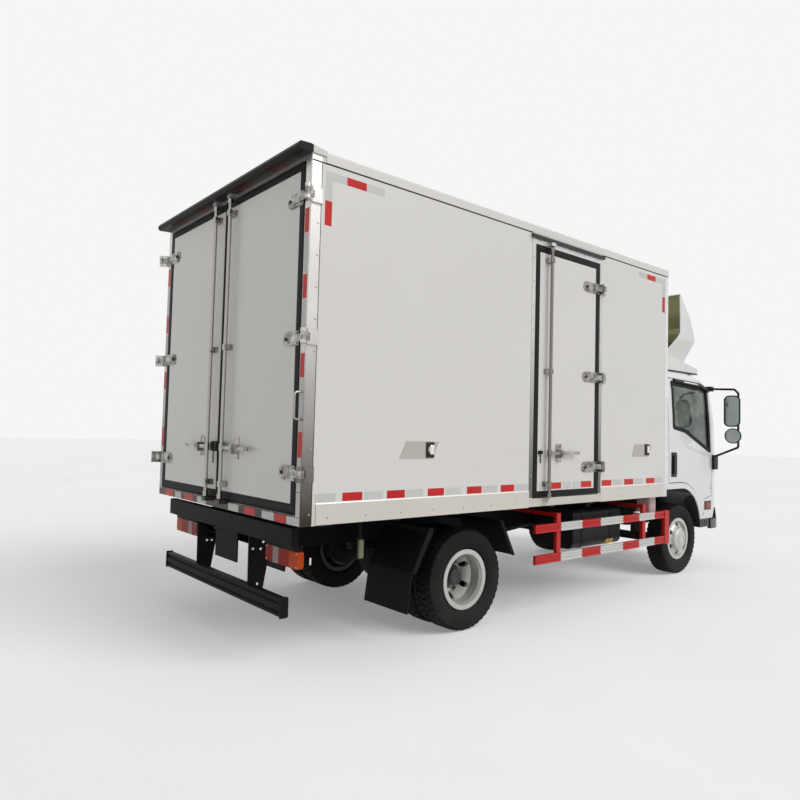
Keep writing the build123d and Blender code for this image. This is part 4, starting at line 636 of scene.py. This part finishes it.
for side, name in sides:
    bm = bmesh.new()
    addGasketFrame(bm, lambda across, up, depth: (rearFace + gasket["front"] - depth, side * across, up),
                   gasket["rearEnds"], gasket["rearWidths"])
    makePiece(f"rearDoorGasket_{name}", bm, f"{name}_rear_door", "gasketRubber")
bm = bmesh.new()
addGasketFrame(bm, lambda along, up, depth: (alongBox(along), gasket["front"] - wallOut - depth, up),
               gasket["sideEnds"], gasket["sideWidths"])
makePiece("sideDoorGasket", bm, "side_box_door", "gasketRubber")
print("box trimmed")

# Bushes and bolts of the door hardware
bush = {"proud": 0.0150, "height": 0.0035, "radius": 0.012, "endRadius": 0.010,
        "rearHeights": (1.165, 1.960, 2.800), "rearOut": 0.896, "sideHeights": (1.168, 1.930, 2.700), "sideX": -0.136}
strapBolt = {"proud": 0.0058, "radius": 0.0075, "height": 0.005, "rearOut": 0.965, "rearApart": 0.01575,
             "sideX": -0.005, "sideApart": 0.016}
rodHook = {"along": (2.142, 2.182), "out": (1.1050, 1.1235), "up": (1.276, 1.304),
           "pin": (2.162, 1.1160, 1.280), "pinLow": 1.206, "radius": 0.0045}
for side, name in sides:
    bm = bmesh.new()
    for z in bush["rearHeights"]:
        tip = Vector((rearFace - bush["proud"], side * bush["rearOut"], z))
        addRod(bm, tip, tip - Vector((bush["height"], 0, 0)), bush["radius"], 16, bush["endRadius"])
        for dz in (-strapBolt["rearApart"], strapBolt["rearApart"]):
            addNut(bm, (rearFace - strapBolt["proud"], side * strapBolt["rearOut"], z + dz), (-1, 0, 0),
                   strapBolt["radius"], strapBolt["height"])
    makePiece(f"rearHingeBushes_{name}", bm, f"{name}_rear_door", "gasketRubber")
bm = bmesh.new()
for z in bush["sideHeights"]:
    tip = Vector((bush["sideX"], -wallOut - bush["proud"], z))
    addRod(bm, tip, tip - Vector((0, bush["height"], 0)), bush["radius"], 16, bush["endRadius"])
    for dz in (-strapBolt["sideApart"], strapBolt["sideApart"]):
        addNut(bm, (strapBolt["sideX"], -wallOut - strapBolt["proud"], z + dz), (0, -1, 0), strapBolt["radius"],
               strapBolt["height"])
# Black hook beside the side door's lock rod
addSpanBar(bm, -1, [alongBox(end) for end in rodHook["along"]], rodHook["out"], rodHook["up"], 0.003, 2)
along, out, up = rodHook["pin"]
addRod(bm, (alongBox(along), -out, up), (alongBox(along), -out, rodHook["pinLow"]), rodHook["radius"], 12)
makePiece("sideHingeBushes", bm, "side_box_door", "gasketRubber")

# Black lock bodies beside the rear rods; a strap hangs from the left one
lockBody = {"right": (0.034, 0.086, -2.9520), "left": (0.016, 0.060, -2.9360), "up": (1.256, 1.324),
            "front": -2.8975, "inset": 0.010, "lip": (-0.0030, 0.002),
            "strap": ((0.012, 0.018), (0.010, 0.022), (-0.085, 0.008))}
for side, name in sides:
    bm = bmesh.new()
    inner, outer, rear = lockBody[name]
    low, high = lockBody["up"]
    inset = lockBody["inset"]
    addSpanBar(bm, side, (rear, lockBody["front"]), (inner, outer), (low, high), 0.007, 3)
    lip = [rear + end for end in lockBody["lip"]]
    addSpanBar(bm, side, lip, (inner + inset, outer - inset), (low + inset, high - inset), 0.002, 2)
    if side == 1:
        addBlock(bm, side, (rear, inner, low), lockBody["strap"], 0.002, 2)
    makePiece(f"rearLockBody_{name}", bm, f"{name}_rear_door", "gasketRubber")

# Knobs on the wall plates, two on the right and one on the left
plateKnob = {"places": ((0.856, 1.314, -1), (-1.903, 1.307, -1), (-1.903, 1.307, 1)),
             "body": ((-0.037, 0.037), (-0.002, 0.011), (-0.052, 0.052)),
             "boss": ((-0.006, 0.029), (0.010, 0.016), (-0.030, 0.034))}
knobs, bosses = bmesh.new(), bmesh.new()
for x, z, side in plateKnob["places"]:
    addBlock(knobs, side, (x, wallOut, z), plateKnob["body"], 0.0056, 3)
    addBlock(bosses, side, (x, wallOut, z), plateKnob["boss"], 0.0026, 2)
makePiece("plateKnobs", knobs, "chassis", "trimPlastic")
makePiece("plateKnobBosses", bosses, "chassis", "brightTrim")
print("locks and knobs made")

# Tyres: half a section as (outward, radius), then four rows of lugs as (outward, width, share of a pitch)
tyre = {
    "steps": 72, "pitches": 44, "lugLow": 0.3530, "lugHigh": 0.3643, "lugLength": 0.040, "lugTurn": 14,
    "lugEdge": 0.357, "lugBevel": 0.0014, "shoulder": 0.05, "shoulderDrop": 0.0045,
    "side": ((0.0660, 0.1990), (0.0680, 0.2180), (0.0725, 0.2245), (0.0815, 0.2330), (0.0862, 0.2390),
             (0.0848, 0.2425), (0.0895, 0.2540), (0.0925, 0.2680), (0.0944, 0.2840), (0.0949, 0.2960),
             (0.0935, 0.2990), (0.0933, 0.3020), (0.0943, 0.3050), (0.0930, 0.3160), (0.0902, 0.3320),
             (0.0862, 0.3440), (0.0800, 0.3520), (0.0660, 0.3555), (0.0440, 0.3565)),
    "rows": ((0.0655, 0.0340, 0.0), (0.0225, 0.0345, 0.5), (-0.0225, 0.0345, 0.0), (-0.0655, 0.0340, 0.5)),
}


def makeTyreForm():
    bm = bmesh.new()
    half = list(tyre["side"])
    addSpin(bm, half + [(-out, radius) for out, radius in reversed(half)], (0, 0, 0), tyre["steps"])
    step = 2 * math.pi / tyre["pitches"]
    middle = (tyre["lugLow"] + tyre["lugHigh"]) / 2
    lug = bmesh.new()
    for row, width, shift in tyre["rows"]:
        turn = math.radians(tyre["lugTurn"] if row > 0 else -tyre["lugTurn"])
        size = (tyre["lugLength"], width, tyre["lugHigh"] - tyre["lugLow"], 1.0)
        matrix = Matrix.Translation((0, row, middle)) @ Matrix.Rotation(turn, 4, "Z") @ Matrix.Diagonal(size)
        verts = bmesh.ops.create_cube(lug, size=1.0, matrix=matrix)["verts"]
        if abs(row) > tyre["shoulder"]:  # shoulder blocks fall away outwards
            far = [v for v in verts if abs(v.co.y) > abs(row) and v.co.z > middle]
            bmesh.ops.translate(lug, verts=far, vec=(0, 0, -tyre["shoulderDrop"]))
        edges = [edge for edge in edgesOf(verts)
                 if (edge.verts[0].co.z + edge.verts[1].co.z) / 2 > tyre["lugEdge"]]
        bevelParts(lug, edges, tyre["lugBevel"], 1)
        moved = [v for v in lug.verts if not v.tag]
        bmesh.ops.rotate(lug, verts=moved, cent=(0, 0, 0), matrix=Matrix.Rotation(step * shift, 3, "Y"))
        for vert in moved:
            vert.tag = True
    pattern = bpy.data.meshes.new("lugPattern")
    for _ in range(tyre["pitches"]):
        bmesh.ops.rotate(lug, verts=lug.verts, cent=(0, 0, 0), matrix=Matrix.Rotation(step, 3, "Y"))
        lug.to_mesh(pattern)
        bm.from_mesh(pattern)
    lug.free()
    bpy.data.meshes.remove(pattern)
    return closeMesh("tyreForm", bm)


def makeTyres(name, body, form, centres, node):
    bm = bmesh.new()
    for centre in centres:
        placed = form.copy()
        placed.transform(Matrix.Translation(centre))
        bm.from_mesh(placed)
        bpy.data.meshes.remove(placed)
    piece = makePiece(name, bm, body, "tyreRubber", angle=28.0)
    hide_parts(node)


tyreForm = makeTyreForm()
for side, name in sides:
    makeTyres(f"frontTyreTread_{name}", f"{name}_front_wheel", tyreForm,
              [(truck["frontAxle"], side * truck["frontWheel"], truck["axleHeight"])], f"front_tyre_{name}")
    twins = [(truck["rearAxle"], side * truck[key], truck["axleHeight"]) for key in ("twinOuter", "twinInner")]
    makeTyres(f"rearTyreTreads_{name}", f"{name}_rear_wheels", tyreForm, twins, f"rear_tyres_{name}")
print("tyres made")

# Wheel nuts, hub bolts and valves, and the pressed rings on the front caps
wheelNut = {
    "rear": {"count": 6, "ring": 0.111, "out": 0.7995, "size": (0.0165, 0.020, 0.012), "turn": 0.0},
    "hub": {"count": 8, "ring": 0.040, "out": 0.8905, "size": (0.008, 0.008), "turn": math.pi / 8},
    "front": {"count": 6, "ring": 0.1285, "out": 0.856, "size": (0.0045, 0.005), "turn": math.pi / 6 + 0.52},
    "valve": ((-0.150, 0.885, 0.060), (-0.158, 0.925, 0.063), 0.004),
    "capRings": ((0.1095, 0.1150, 0.0235), (0.052, 0.056, 0.0425)), "ringSunk": 0.006, "ringLip": 0.001,
}


def addNutRing(bm, side, axle, row):
    for i in range(row["count"]):
        angle = 2 * math.pi * i / row["count"] + row["turn"]
        addNut(bm, (axle + math.cos(angle) * row["ring"], side * row["out"],
                    truck["axleHeight"] + math.sin(angle) * row["ring"]), (0, side, 0), *row["size"])


for side, name in sides:
    bm = bmesh.new()
    addNutRing(bm, side, truck["rearAxle"], wheelNut["rear"])
    addNutRing(bm, side, truck["rearAxle"], wheelNut["hub"])
    *ends, radius = wheelNut["valve"]
    addRod(bm, *[(truck["rearAxle"] + x, side * y, truck["axleHeight"] + z) for x, y, z in ends], radius, 8)
    makePiece(f"rearWheelNuts_{name}", bm, f"{name}_rear_wheels", "nutSteel")
    bm = bmesh.new()
    addNutRing(bm, side, truck["frontAxle"], wheelNut["front"])
    centre = (truck["frontAxle"], side * wheelNut["front"]["out"], truck["axleHeight"])
    for inner, outer, rise in wheelNut["capRings"]:
        lip = wheelNut["ringLip"]
        low, high = side * (rise - wheelNut["ringSunk"]), side * (rise + lip)
        addSpin(bm, ((low, inner), (high, inner + lip), (high, outer - lip), (low, outer)), centre, 48)
    makePiece(f"frontCapRings_{name}", bm, f"{name}_front_wheel", "rimSilver")
print("wheels finished")

# Cab side windows: the skin's half width by height, the seals, the rain visors and their bright strips
cabShape = ((0.55, 0.905), (1.25, 0.905), (1.64, 0.894), (1.94, 0.873), (2.08, 0.845), (2.15, 0.790))
windowSeal = {
    "outline": ((1.752, 2.042), (1.742, 1.526), (2.000, 1.490), (2.580, 1.264), (2.552, 1.984), (2.456, 2.014)),
    "round": 0.040, "width": 0.040, "sunk": -0.016, "proud": 0.004, "levels": (1.40, 1.64, 1.80, 1.94, 2.00),
}
visor = {
    "outline": ((1.820, 2.058), (2.435, 2.040), (2.566, 1.984), (2.564, 1.952), (2.415, 2.002), (1.830, 2.026)),
    "sunk": -0.003, "proud": 0.024, "bevel": 0.004, "rimAngle": 0.9,
    "strip": ((2.02, 2.046), (2.33, 2.037), (2.33, 2.022), (2.02, 2.031)), "stripSunk": -0.002, "stripProud": 0.0015,
}


def liftFromSkin(bm, side, base, proud, keep):
    # Pulls the outline's faces out into a closed slab that follows the leaning skin
    made = bmesh.ops.extrude_face_region(bm, geom=bm.faces[:], use_keep_orig=keep)
    lifted = {item for item in made["geom"] if isinstance(item, bmesh.types.BMVert)}
    for vert in bm.verts:
        vert.co.y = side * (between(cabShape, vert.co.z)[0] + (proud if vert in lifted else base))
    return lifted


def addSkinRing(bm, side, seal):
    # A flat band round an outline on the cab's side
    face = bm.faces.new([bm.verts.new((x, 0.0, z)) for x, z in seal["outline"]])
    bevelParts(bm, list(face.verts), seal["round"], 5, "VERTICES")
    face = bm.faces[:][0]
    bmesh.ops.inset_region(bm, faces=[face], thickness=seal["width"], use_even_offset=True, use_boundary=True)
    bmesh.ops.delete(bm, geom=[face], context="FACES_ONLY")
    for level in seal["levels"]:
        bmesh.ops.bisect_plane(bm, geom=bm.verts[:] + bm.edges[:] + bm.faces[:], plane_co=(0, 0, level),
                               plane_no=(0, 0, 1))
    liftFromSkin(bm, side, seal["sunk"], seal["proud"], False)


def addSkinSlab(bm, side, outline, base, proud):
    bm.faces.new([bm.verts.new((x, 0.0, z)) for x, z in outline])
    lifted = liftFromSkin(bm, side, base, proud, True)
    rim = [edge for edge in bm.edges
           if edge.calc_face_angle(0.0) > visor["rimAngle"] and all(v in lifted for v in edge.verts)]
    bevelParts(bm, rim, visor["bevel"], 2)


for side, name in sides:
    door = f"{name}_cab_door"
    bm = bmesh.new()
    addSkinRing(bm, side, windowSeal)
    makePiece(f"windowSeal_{name}", bm, door, "gasketRubber", angle=50.0)
    bm = bmesh.new()
    addSkinSlab(bm, side, visor["outline"], visor["sunk"], visor["proud"])
    makePiece(f"rainVisor_{name}", bm, door, "trimPlastic")
    bm = bmesh.new()
    addSkinSlab(bm, side, visor["strip"], visor["proud"] + visor["stripSunk"], visor["proud"] + visor["stripProud"])
    makePiece(f"visorStrip_{name}", bm, door, "brightTrim")

# Door handles, side lamps and mirror glass
handle = {"x": (1.702, 1.812), "z": (1.024, 1.280), "bowl": (0.902, 0.9110), "bowlEdge": 0.0042,
          "grip": (0.9160, 0.9250), "gripEdge": 0.004, "inset": (0.022, 0.028, 0.028),
          "posts": (0.909, 0.918), "postLows": (1.058, 1.222), "postSize": 0.024, "postEdge": 0.002,
          "lock": (1.798, 1.066), "lockOut": (0.9100, 0.9125), "lockRadius": 0.008}
sideLamp = {"x": (2.440, 2.590), "z": (0.644, 0.740), "bezel": (0.902, 0.9095), "lens": (0.904, 0.9130),
            "rim": 0.009, "bezelEdge": 0.003, "lensEdge": 0.004}
for side, name in sides:
    bm = bmesh.new()
    (x0, x1), (z0, z1), (gripX, gripZ, postX) = handle["x"], handle["z"], handle["inset"]
    addSpanBar(bm, side, (x0, x1), handle["bowl"], (z0, z1), handle["bowlEdge"], 3)
    addSpanBar(bm, side, (x0 + gripX, x1 - gripX), handle["grip"], (z0 + gripZ, z1 - gripZ), handle["gripEdge"], 3)
    for z in handle["postLows"]:
        addSpanBar(bm, side, (x0 + postX, x1 - postX), handle["posts"], (z, z + handle["postSize"]),
                   handle["postEdge"], 2)
    x, z = handle["lock"]
    addRod(bm, *[(x, side * out, z) for out in handle["lockOut"]], handle["lockRadius"], 16)
    makePiece(f"doorHandle_{name}", bm, f"{name}_cab_door", "trimPlastic")
for side, name in sides:
    (x0, x1), (z0, z1), rim = sideLamp["x"], sideLamp["z"], sideLamp["rim"]
    bm = bmesh.new()
    addSpanBar(bm, side, (x0, x1), sideLamp["bezel"], (z0, z1), sideLamp["bezelEdge"], 2)
    makePiece(f"sideLampBezel_{name}", bm, "cab", "trimPlastic")
    bm = bmesh.new()
    addSpanBar(bm, side, (x0 + rim, x1 - rim), sideLamp["lens"], (z0 + rim, z1 - rim), sideLamp["lensEdge"], 3)
    makePiece(f"sideLampLens_{name}", bm, "cab", "sideLampLens")

mirror = {"tall": (2.606, 1.138, 1.742), "tallSize": (0.140, 0.318), "tallRound": 0.046,
          "small": (2.606, 1.148, 1.470), "smallRadius": 0.074, "turn": 0.22, "rise": 0.0562, "thick": 0.0018}
for side, name in sides:
    bm = bmesh.new()
    normal = Vector((-1.0, mirror["turn"] * side, 0.0)).normalized()
    tall, small = [Matrix.Translation(Vector((x, y * side, z)) + normal * mirror["rise"]) @ towards(normal)
                   for x, y, z in (mirror["tall"], mirror["small"])]
    made = bmesh.ops.create_grid(bm, x_segments=1, y_segments=1, size=0.5,
                                 matrix=tall @ Matrix.Diagonal((*mirror["tallSize"], 1.0, 1.0)))
    bevelParts(bm, made["verts"], mirror["tallRound"], 6, "VERTICES")
    bmesh.ops.create_circle(bm, cap_ends=True, segments=32, radius=mirror["smallRadius"], matrix=small)
    made = bmesh.ops.extrude_face_region(bm, geom=bm.faces[:])
    lifted = [item for item in made["geom"] if isinstance(item, bmesh.types.BMVert)]
    bmesh.ops.translate(bm, verts=lifted, vec=normal * mirror["thick"])
    makePiece(f"mirrorGlass_{name}", bm, "cab", "mirrorGlass", angle=20.0)
print("cab dressed")

# Roof deflector: green inner face, and the black seal under its base
deflector = {  # sections are height, rear, end of the sides, front and half width
    "sections": ((2.210, 1.683, 2.240, 2.390, 0.716), (2.522, 2.008, 2.409, 2.640, 0.800),
                 (2.590, 2.080, 2.392, 2.610, 0.800), (2.775, 2.082, 2.308, 2.470, 0.798),
                 (3.020, 2.083, 2.094, 2.135, 0.792)),
    "inset": 0.0105, "frontInset": 0.021, "rearInset": 0.004, "levels": (2.375, 2.522, 2.590, 2.775, 3.012),
    "thick": 0.001, "cornerMost": 0.2, "cornerShare": 0.9, "cornerLeast": 0.02,
}
bm = bmesh.new()
previous = None
for z in deflector["levels"]:
    rear, sideEnd, front, half = between(deflector["sections"], z)
    gap = deflector["inset"]
    corner = min(deflector["cornerMost"], (front - sideEnd) * deflector["cornerShare"] + deflector["cornerLeast"])
    rightHalf = ((rear + deflector["rearInset"], half - gap), (sideEnd - 2 * gap, half - gap),
                 (front - deflector["frontInset"], half - corner))
    ring = [bm.verts.new((x, -y, z)) for x, y in rightHalf]
    ring += [bm.verts.new((x, y, z)) for x, y in reversed(rightHalf)]
    edges = [bm.edges.new((a, b)) for a, b in zip(ring, ring[1:])]
    if previous:
        bmesh.ops.bridge_loops(bm, edges=previous + edges)
    previous = edges
liner = makePiece("deflectorLiner", bm, "cab", "linerGreen", angle=20.0)
thickness = liner.modifiers.new("thickness", "SOLIDIFY")
thickness.thickness = deflector["thick"]
thickness.offset = 0.0

deflectorSeal = {"up": (2.1505, 2.1640), "sideX": (1.642, 2.470), "sideOut": (0.784, 0.8045),
                 "frontX": (2.460, 2.4755), "frontOut": (-0.800, 0.800)}
bm = bmesh.new()
for side, _ in sides:
    addSpanBar(bm, side, deflectorSeal["sideX"], deflectorSeal["sideOut"], deflectorSeal["up"], 0.003, 2)
addSpanBar(bm, 1, deflectorSeal["frontX"], deflectorSeal["frontOut"], deflectorSeal["up"], 0.003, 2)
makePiece("deflectorSeal", bm, "cab", "gasketRubber")

wiper = {  # rods as the ends' distances from the pivot, then the radius at each end
    "pivots": (-0.62, 0.02), "glass": 2.9635, "up": 1.300,
    "post": ((-0.012, 0.0, 0.0), (0.010, 0.0, 0.0), 0.013, 0.010),
    "arm": ((0.006, 0.0, 0.0), (0.0085, 0.30, 0.064), 0.0055, 0.004),
    "blade": ((-0.006, 0.009), (0.02, 0.54), (0.048, 0.062)),
}
bm = bmesh.new()
for y in wiper["pivots"]:
    pivot = Vector((wiper["glass"], y, wiper["up"]))
    for key, segments in (("post", 16), ("arm", 10)):
        start, end, radius, endRadius = wiper[key]
        addRod(bm, pivot + Vector(start), pivot + Vector(end), radius, segments, endRadius)
    addBlock(bm, 1, pivot, wiper["blade"], 0.003, 2)
makePiece("wipers", bm, "cab", "trimPlastic")
print("deflector and wipers made")

# Rear end: underrun bolts, lamp screws and the olive marker ahead of the right tail lamp
underrunBolt = {  # along, out, up, and 1 for outward or -1 for inward
    "places": ((-2.749, 0.412, 0.671, 1), (-2.823, 0.412, 0.632, 1), (-2.767, 0.412, 0.627, 1),
               (-2.785, 0.412, 0.400, 1), (-2.717, 0.393, 0.658, -1), (-2.687, 0.393, 0.619, -1),
               (-2.779, 0.400, 0.572, -1), (-2.739, 0.400, 0.569, -1)),
    "radius": 0.010, "height": 0.008,
}
lampScrew = {"x": -2.800, "out": (0.556, 0.920), "up": (0.592, 0.672), "radius": 0.0045, "height": 0.0022,
             "clip": ((-2.745, -2.735), (0.975, 0.986), (0.612, 0.655))}
bolts, screws = bmesh.new(), bmesh.new()
for side, _ in sides:
    for x, y, z, way in underrunBolt["places"]:
        addNut(bolts, (x, side * y, z), (0, side * way, 0), underrunBolt["radius"], underrunBolt["height"])
    for y in lampScrew["out"]:
        for z in lampScrew["up"]:
            addRivet(screws, (lampScrew["x"], side * y, z), (-1, 0, 0), lampScrew["radius"], lampScrew["height"])
    addSpanBar(screws, side, *lampScrew["clip"], 0.003, 2)
makePiece("underrunBolts", bolts, "chassis", "brightTrim")
makePiece("lampScrews", screws, "chassis", "brightTrim")

marker = {"place": (-2.342, -0.950, 0.0), "lens": ((-0.021, 0.021), (-0.013, 0.013), (0.604, 0.728)),
          "plate": ((-0.027, 0.027), (0.009, 0.017), (0.596, 0.740)),
          "hanger": ((-0.013, 0.013), (0.010, 0.016), (0.728, 0.863))}
bm = bmesh.new()
addBlock(bm, 1, marker["place"], marker["lens"], 0.0125, 4)
makePiece("markerLens", bm, "chassis", "markerOlive")
bm = bmesh.new()
addBlock(bm, 1, marker["place"], marker["plate"], 0.003, 2)
addBlock(bm, 1, marker["place"], marker["hanger"], 0.002, 2)
makePiece("markerHanger", bm, "chassis", "chassisPaint")

# Fan guards of the cooling unit: three rings and eight spokes each
fanGuard = {"x": 1.6525, "spokeX": 1.6505, "z": 2.740, "out": (-0.320, 0.320), "rings": (0.060, 0.105, 0.150),
            "wire": 0.0025, "spokes": 8, "spokeEnds": (0.05, 0.168)}
bm = bmesh.new()
for y in fanGuard["out"]:
    for radius in fanGuard["rings"]:
        place = Matrix.Translation((fanGuard["x"], y + radius, fanGuard["z"]))
        loop = bmesh.ops.create_circle(bm, cap_ends=False, segments=6, radius=fanGuard["wire"], matrix=place)["verts"]
        bmesh.ops.spin(bm, geom=loop + edgesOf(loop), cent=(fanGuard["x"], y, fanGuard["z"]), axis=(1, 0, 0),
                       dvec=(0, 0, 0), angle=2 * math.pi, steps=40, use_merge=True, use_duplicate=False)
    for i in range(fanGuard["spokes"]):
        angle = 2 * math.pi * i / fanGuard["spokes"]
        addRod(bm, *[(fanGuard["spokeX"], y + math.cos(angle) * end, fanGuard["z"] + math.sin(angle) * end)
                     for end in fanGuard["spokeEnds"]], fanGuard["wire"], 6)
makePiece("fanGuards", bm, "chassis", "trimPlastic")
print("fittings made")

# Seats: padded cushions, blown up a little by cloth and then seamed
seat = {
    "cushion": {"x": (1.712, 2.205), "z": (0.985, 1.140), "bulge": 0.016, "lean": 0.0},
    "back": {"x": (1.625, 1.735), "z": (1.150, 1.640), "bulge": 0.014, "lean": 0.05},
    "rest": {"x": (1.632, 1.695), "z": (1.655, 1.800), "bulge": 0.010, "lean": 0.0},
    "places": (("driver", 0.190, 0.770), ("middle", -0.420, -0.090), ("outer", -0.805, -0.440)),
    "restHalf": 0.12, "corner": 0.022, "voxel": 0.014, "pressure": 4.0, "frames": 20,
    "seamInset": 0.24, "seamHalf": 0.015, "seamDepth": 0.007, "smooth": 0.5,
}
seatFrame = {"x": (1.700, 2.190), "z": (0.955, 0.992), "inset": 0.02, "pins": (-0.05, 0.05),
             "pinEnds": ((1.655, 1.600), (1.662, 1.700)), "pinRadius": 0.006,
             "buckles": (0.165, -0.065, -0.430), "buckleX": (1.800, 1.835), "buckleHalf": 0.012,
             "buckleUp": (1.060, 1.165)}


def pressSeams(bm, low, high, long):
    # Two welts along the pad and one across it, pulled in along the surface's own direction
    width = high[1] - low[1]
    welts = (low[1] + seat["seamInset"] * width, high[1] - seat["seamInset"] * width)
    middle = (low[long] + high[long]) / 2
    bm.normal_update()
    moves = []
    for vert in bm.verts:
        gap = min(abs(vert.co.y - welt) for welt in welts)
        if welts[0] < vert.co.y < welts[1]:
            gap = min(gap, abs(vert.co[long] - middle))
        if gap < seat["seamHalf"]:
            moves.append((vert, vert.normal * -seat["seamDepth"] * (1 - gap / seat["seamHalf"]) ** 2))
    for vert, move in moves:
        vert.co += move


def applyModifiers(pad):
    graph = bpy.context.evaluated_depsgraph_get()
    mesh = bpy.data.meshes.new_from_object(pad.evaluated_get(graph))
    pad.modifiers.clear()
    pad.data = mesh
    return mesh


def makePad(name, low, high, lean, bulge):
    bm = bmesh.new()
    addBar(bm, low, high, seat["corner"], 3)
    if lean:  # the back leans to the rear at its top
        for vert in bm.verts:
            vert.co.x -= lean * (vert.co.z - low[2])
    pad = addObject(name, closeMesh(name, bm))
    remesh = pad.modifiers.new("remesh", "REMESH")
    remesh.mode = "VOXEL"
    remesh.voxel_size = seat["voxel"]
    start = [vert.co.copy() for vert in applyModifiers(pad).vertices]
    cloth = pad.modifiers.new("cloth", "CLOTH")
    cloth.settings.use_pressure = True
    cloth.settings.uniform_pressure_force = seat["pressure"]
    cloth.settings.effector_weights.gravity = 0.0
    cloth.settings.quality = 4
    cloth.point_cache.frame_start = 1
    cloth.point_cache.frame_end = seat["frames"]
    for step in range(1, seat["frames"] + 1):
        bpy.context.scene.frame_set(step)
    for vert, first in zip(applyModifiers(pad).vertices, start):
        move = vert.co - first
        if move.length > bulge:
            vert.co = first + move.normalized() * bulge
    bpy.context.scene.frame_set(1)
    finer = pad.modifiers.new("finer", "SUBSURF")
    finer.levels = finer.render_levels = 1
    fine = applyModifiers(pad)
    bm = bmesh.new()
    bm.from_mesh(fine)
    if not name.endswith("rest"):
        pressSeams(bm, low, high, 0 if name.endswith("cushion") else 2)
    bmesh.ops.smooth_vert(bm, verts=bm.verts, factor=seat["smooth"], use_axis_x=True, use_axis_y=True,
                          use_axis_z=True)
    bm.to_mesh(fine)
    bm.free()
    fine.materials.append(finishes["seatCloth"])
    fine.shade_smooth()
    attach(pad, "cab")
    return pad


firstPad = None
bm = bmesh.new()
for place, y0, y1 in seat["places"]:
    middle = (y0 + y1) / 2
    for part in ("cushion", "back", "rest"):
        shape = seat[part]
        a, b = (y0, y1) if part != "rest" else (middle - seat["restHalf"], middle + seat["restHalf"])
        pad = makePad(f"{place}Seat_{part}", (shape["x"][0], a, shape["z"][0]), (shape["x"][1], b, shape["z"][1]),
                      shape["lean"], shape["bulge"])
        firstPad = firstPad or pad
    addSpanBar(bm, 1, seatFrame["x"], (y0 + seatFrame["inset"], y1 - seatFrame["inset"]), seatFrame["z"], 0.008, 2)
    for dy in seatFrame["pins"]:
        addRod(bm, *[(x, middle + dy, z) for x, z in seatFrame["pinEnds"]], seatFrame["pinRadius"], 10)
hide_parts("cab_seats")
for y in seatFrame["buckles"]:
    addSpanBar(bm, 1, seatFrame["buckleX"], (y - seatFrame["buckleHalf"], y + seatFrame["buckleHalf"]),
               seatFrame["buckleUp"], 0.004, 2)
makePiece("seatFrames", bm, "cab", "trimPlastic")
print("seats made")

# Studio: floor, world, sun and camera
studio = {"floorSize": 60.0, "floorColours": ((0.78, 0.78, 0.78), (0.82, 0.82, 0.82)), "floorPatch": 0.6,
          "floorRough": 0.85, "floorGloss": 0.1, "floorGlow": 0.22, "ambient": 0.43, "seen": 0.92,
          "sun": 1.60, "sunAngle": 40.0, "sunFrom": (0.9, -2.4, 2.3)}


def seenFactor(tree):
    # 1 where the camera, a reflection or a clear piece sees the surface
    rays = tree.nodes.new("ShaderNodeLightPath").outputs
    return mathNode(tree, "MAXIMUM", rays["Is Camera Ray"],
                    mathNode(tree, "MAXIMUM", rays["Is Glossy Ray"], rays["Is Transmission Ray"]))


bm = bmesh.new()
bmesh.ops.create_grid(bm, x_segments=1, y_segments=1, size=studio["floorSize"])
studioFloor = addObject("studioFloor", closeMesh("studioFloor", bm))
floorPaint = bpy.data.materials.new("floorPaint")
floorPaint.use_nodes = True
tree = floorPaint.node_tree
shader = tree.nodes["Principled BSDF"]
floorCoords = tree.nodes.new("ShaderNodeTexCoord").outputs["Object"]
cloud = rangeNode(tree, noiseNode(tree, floorCoords, studio["floorPatch"]), *surface["grainSpan"])
link(tree, mixColour(tree, cloud, *studio["floorColours"]), shader.inputs["Base Color"])
shader.inputs["Roughness"].default_value = studio["floorRough"]
shader.inputs["Specular IOR Level"].default_value = studio["floorGloss"]
shader.inputs["Emission Color"].default_value = (1.0, 1.0, 1.0, 1.0)
link(tree, mathNode(tree, "MULTIPLY", seenFactor(tree), studio["floorGlow"]), shader.inputs["Emission Strength"])
studioFloor.data.materials.append(floorPaint)

world = bpy.data.worlds.new("studioWorld")
world.use_nodes = True
bpy.context.scene.world = world
tree = world.node_tree
background = tree.nodes["Background"]
background.inputs["Color"].default_value = (1.0, 1.0, 1.0, 1.0)
link(tree, mixNumber(tree, seenFactor(tree), studio["ambient"], studio["seen"]), background.inputs["Strength"])

sunData = bpy.data.lights.new("softSun", "SUN")
sunData.energy = studio["sun"]
sunData.angle = math.radians(studio["sunAngle"])
sun = addObject("softSun", sunData)
sun.rotation_euler = Vector(studio["sunFrom"]).to_track_quat("Z", "Y").to_euler()

view = {"place": (-4.930, -4.391, 1.427), "yaw": 50.018, "pitch": 2.692, "roll": 1.488, "lens": 29.87}
yaw, pitch, roll = (math.radians(view[key]) for key in ("yaw", "pitch", "roll"))
forward = Vector((math.cos(yaw) * math.cos(pitch), math.sin(yaw) * math.cos(pitch), math.sin(pitch)))
right = Vector((math.sin(yaw), -math.cos(yaw), 0.0))
upward = right.cross(forward)
rolledRight = right * math.cos(roll) + upward * math.sin(roll)
rolledUp = upward * math.cos(roll) - right * math.sin(roll)
cameraData = bpy.data.cameras.new("photoCamera")
cameraData.lens = view["lens"]
cameraData.sensor_width = 36.0
cameraData.clip_end = 200.0
camera = addObject("photoCamera", cameraData)
turn = Matrix((rolledRight, rolledUp, -forward)).transposed().to_4x4()
camera.matrix_world = Matrix.Translation(view["place"]) @ turn
bpy.context.scene.camera = camera
bpy.context.scene.view_settings.view_transform = "Standard"
print("studio set")
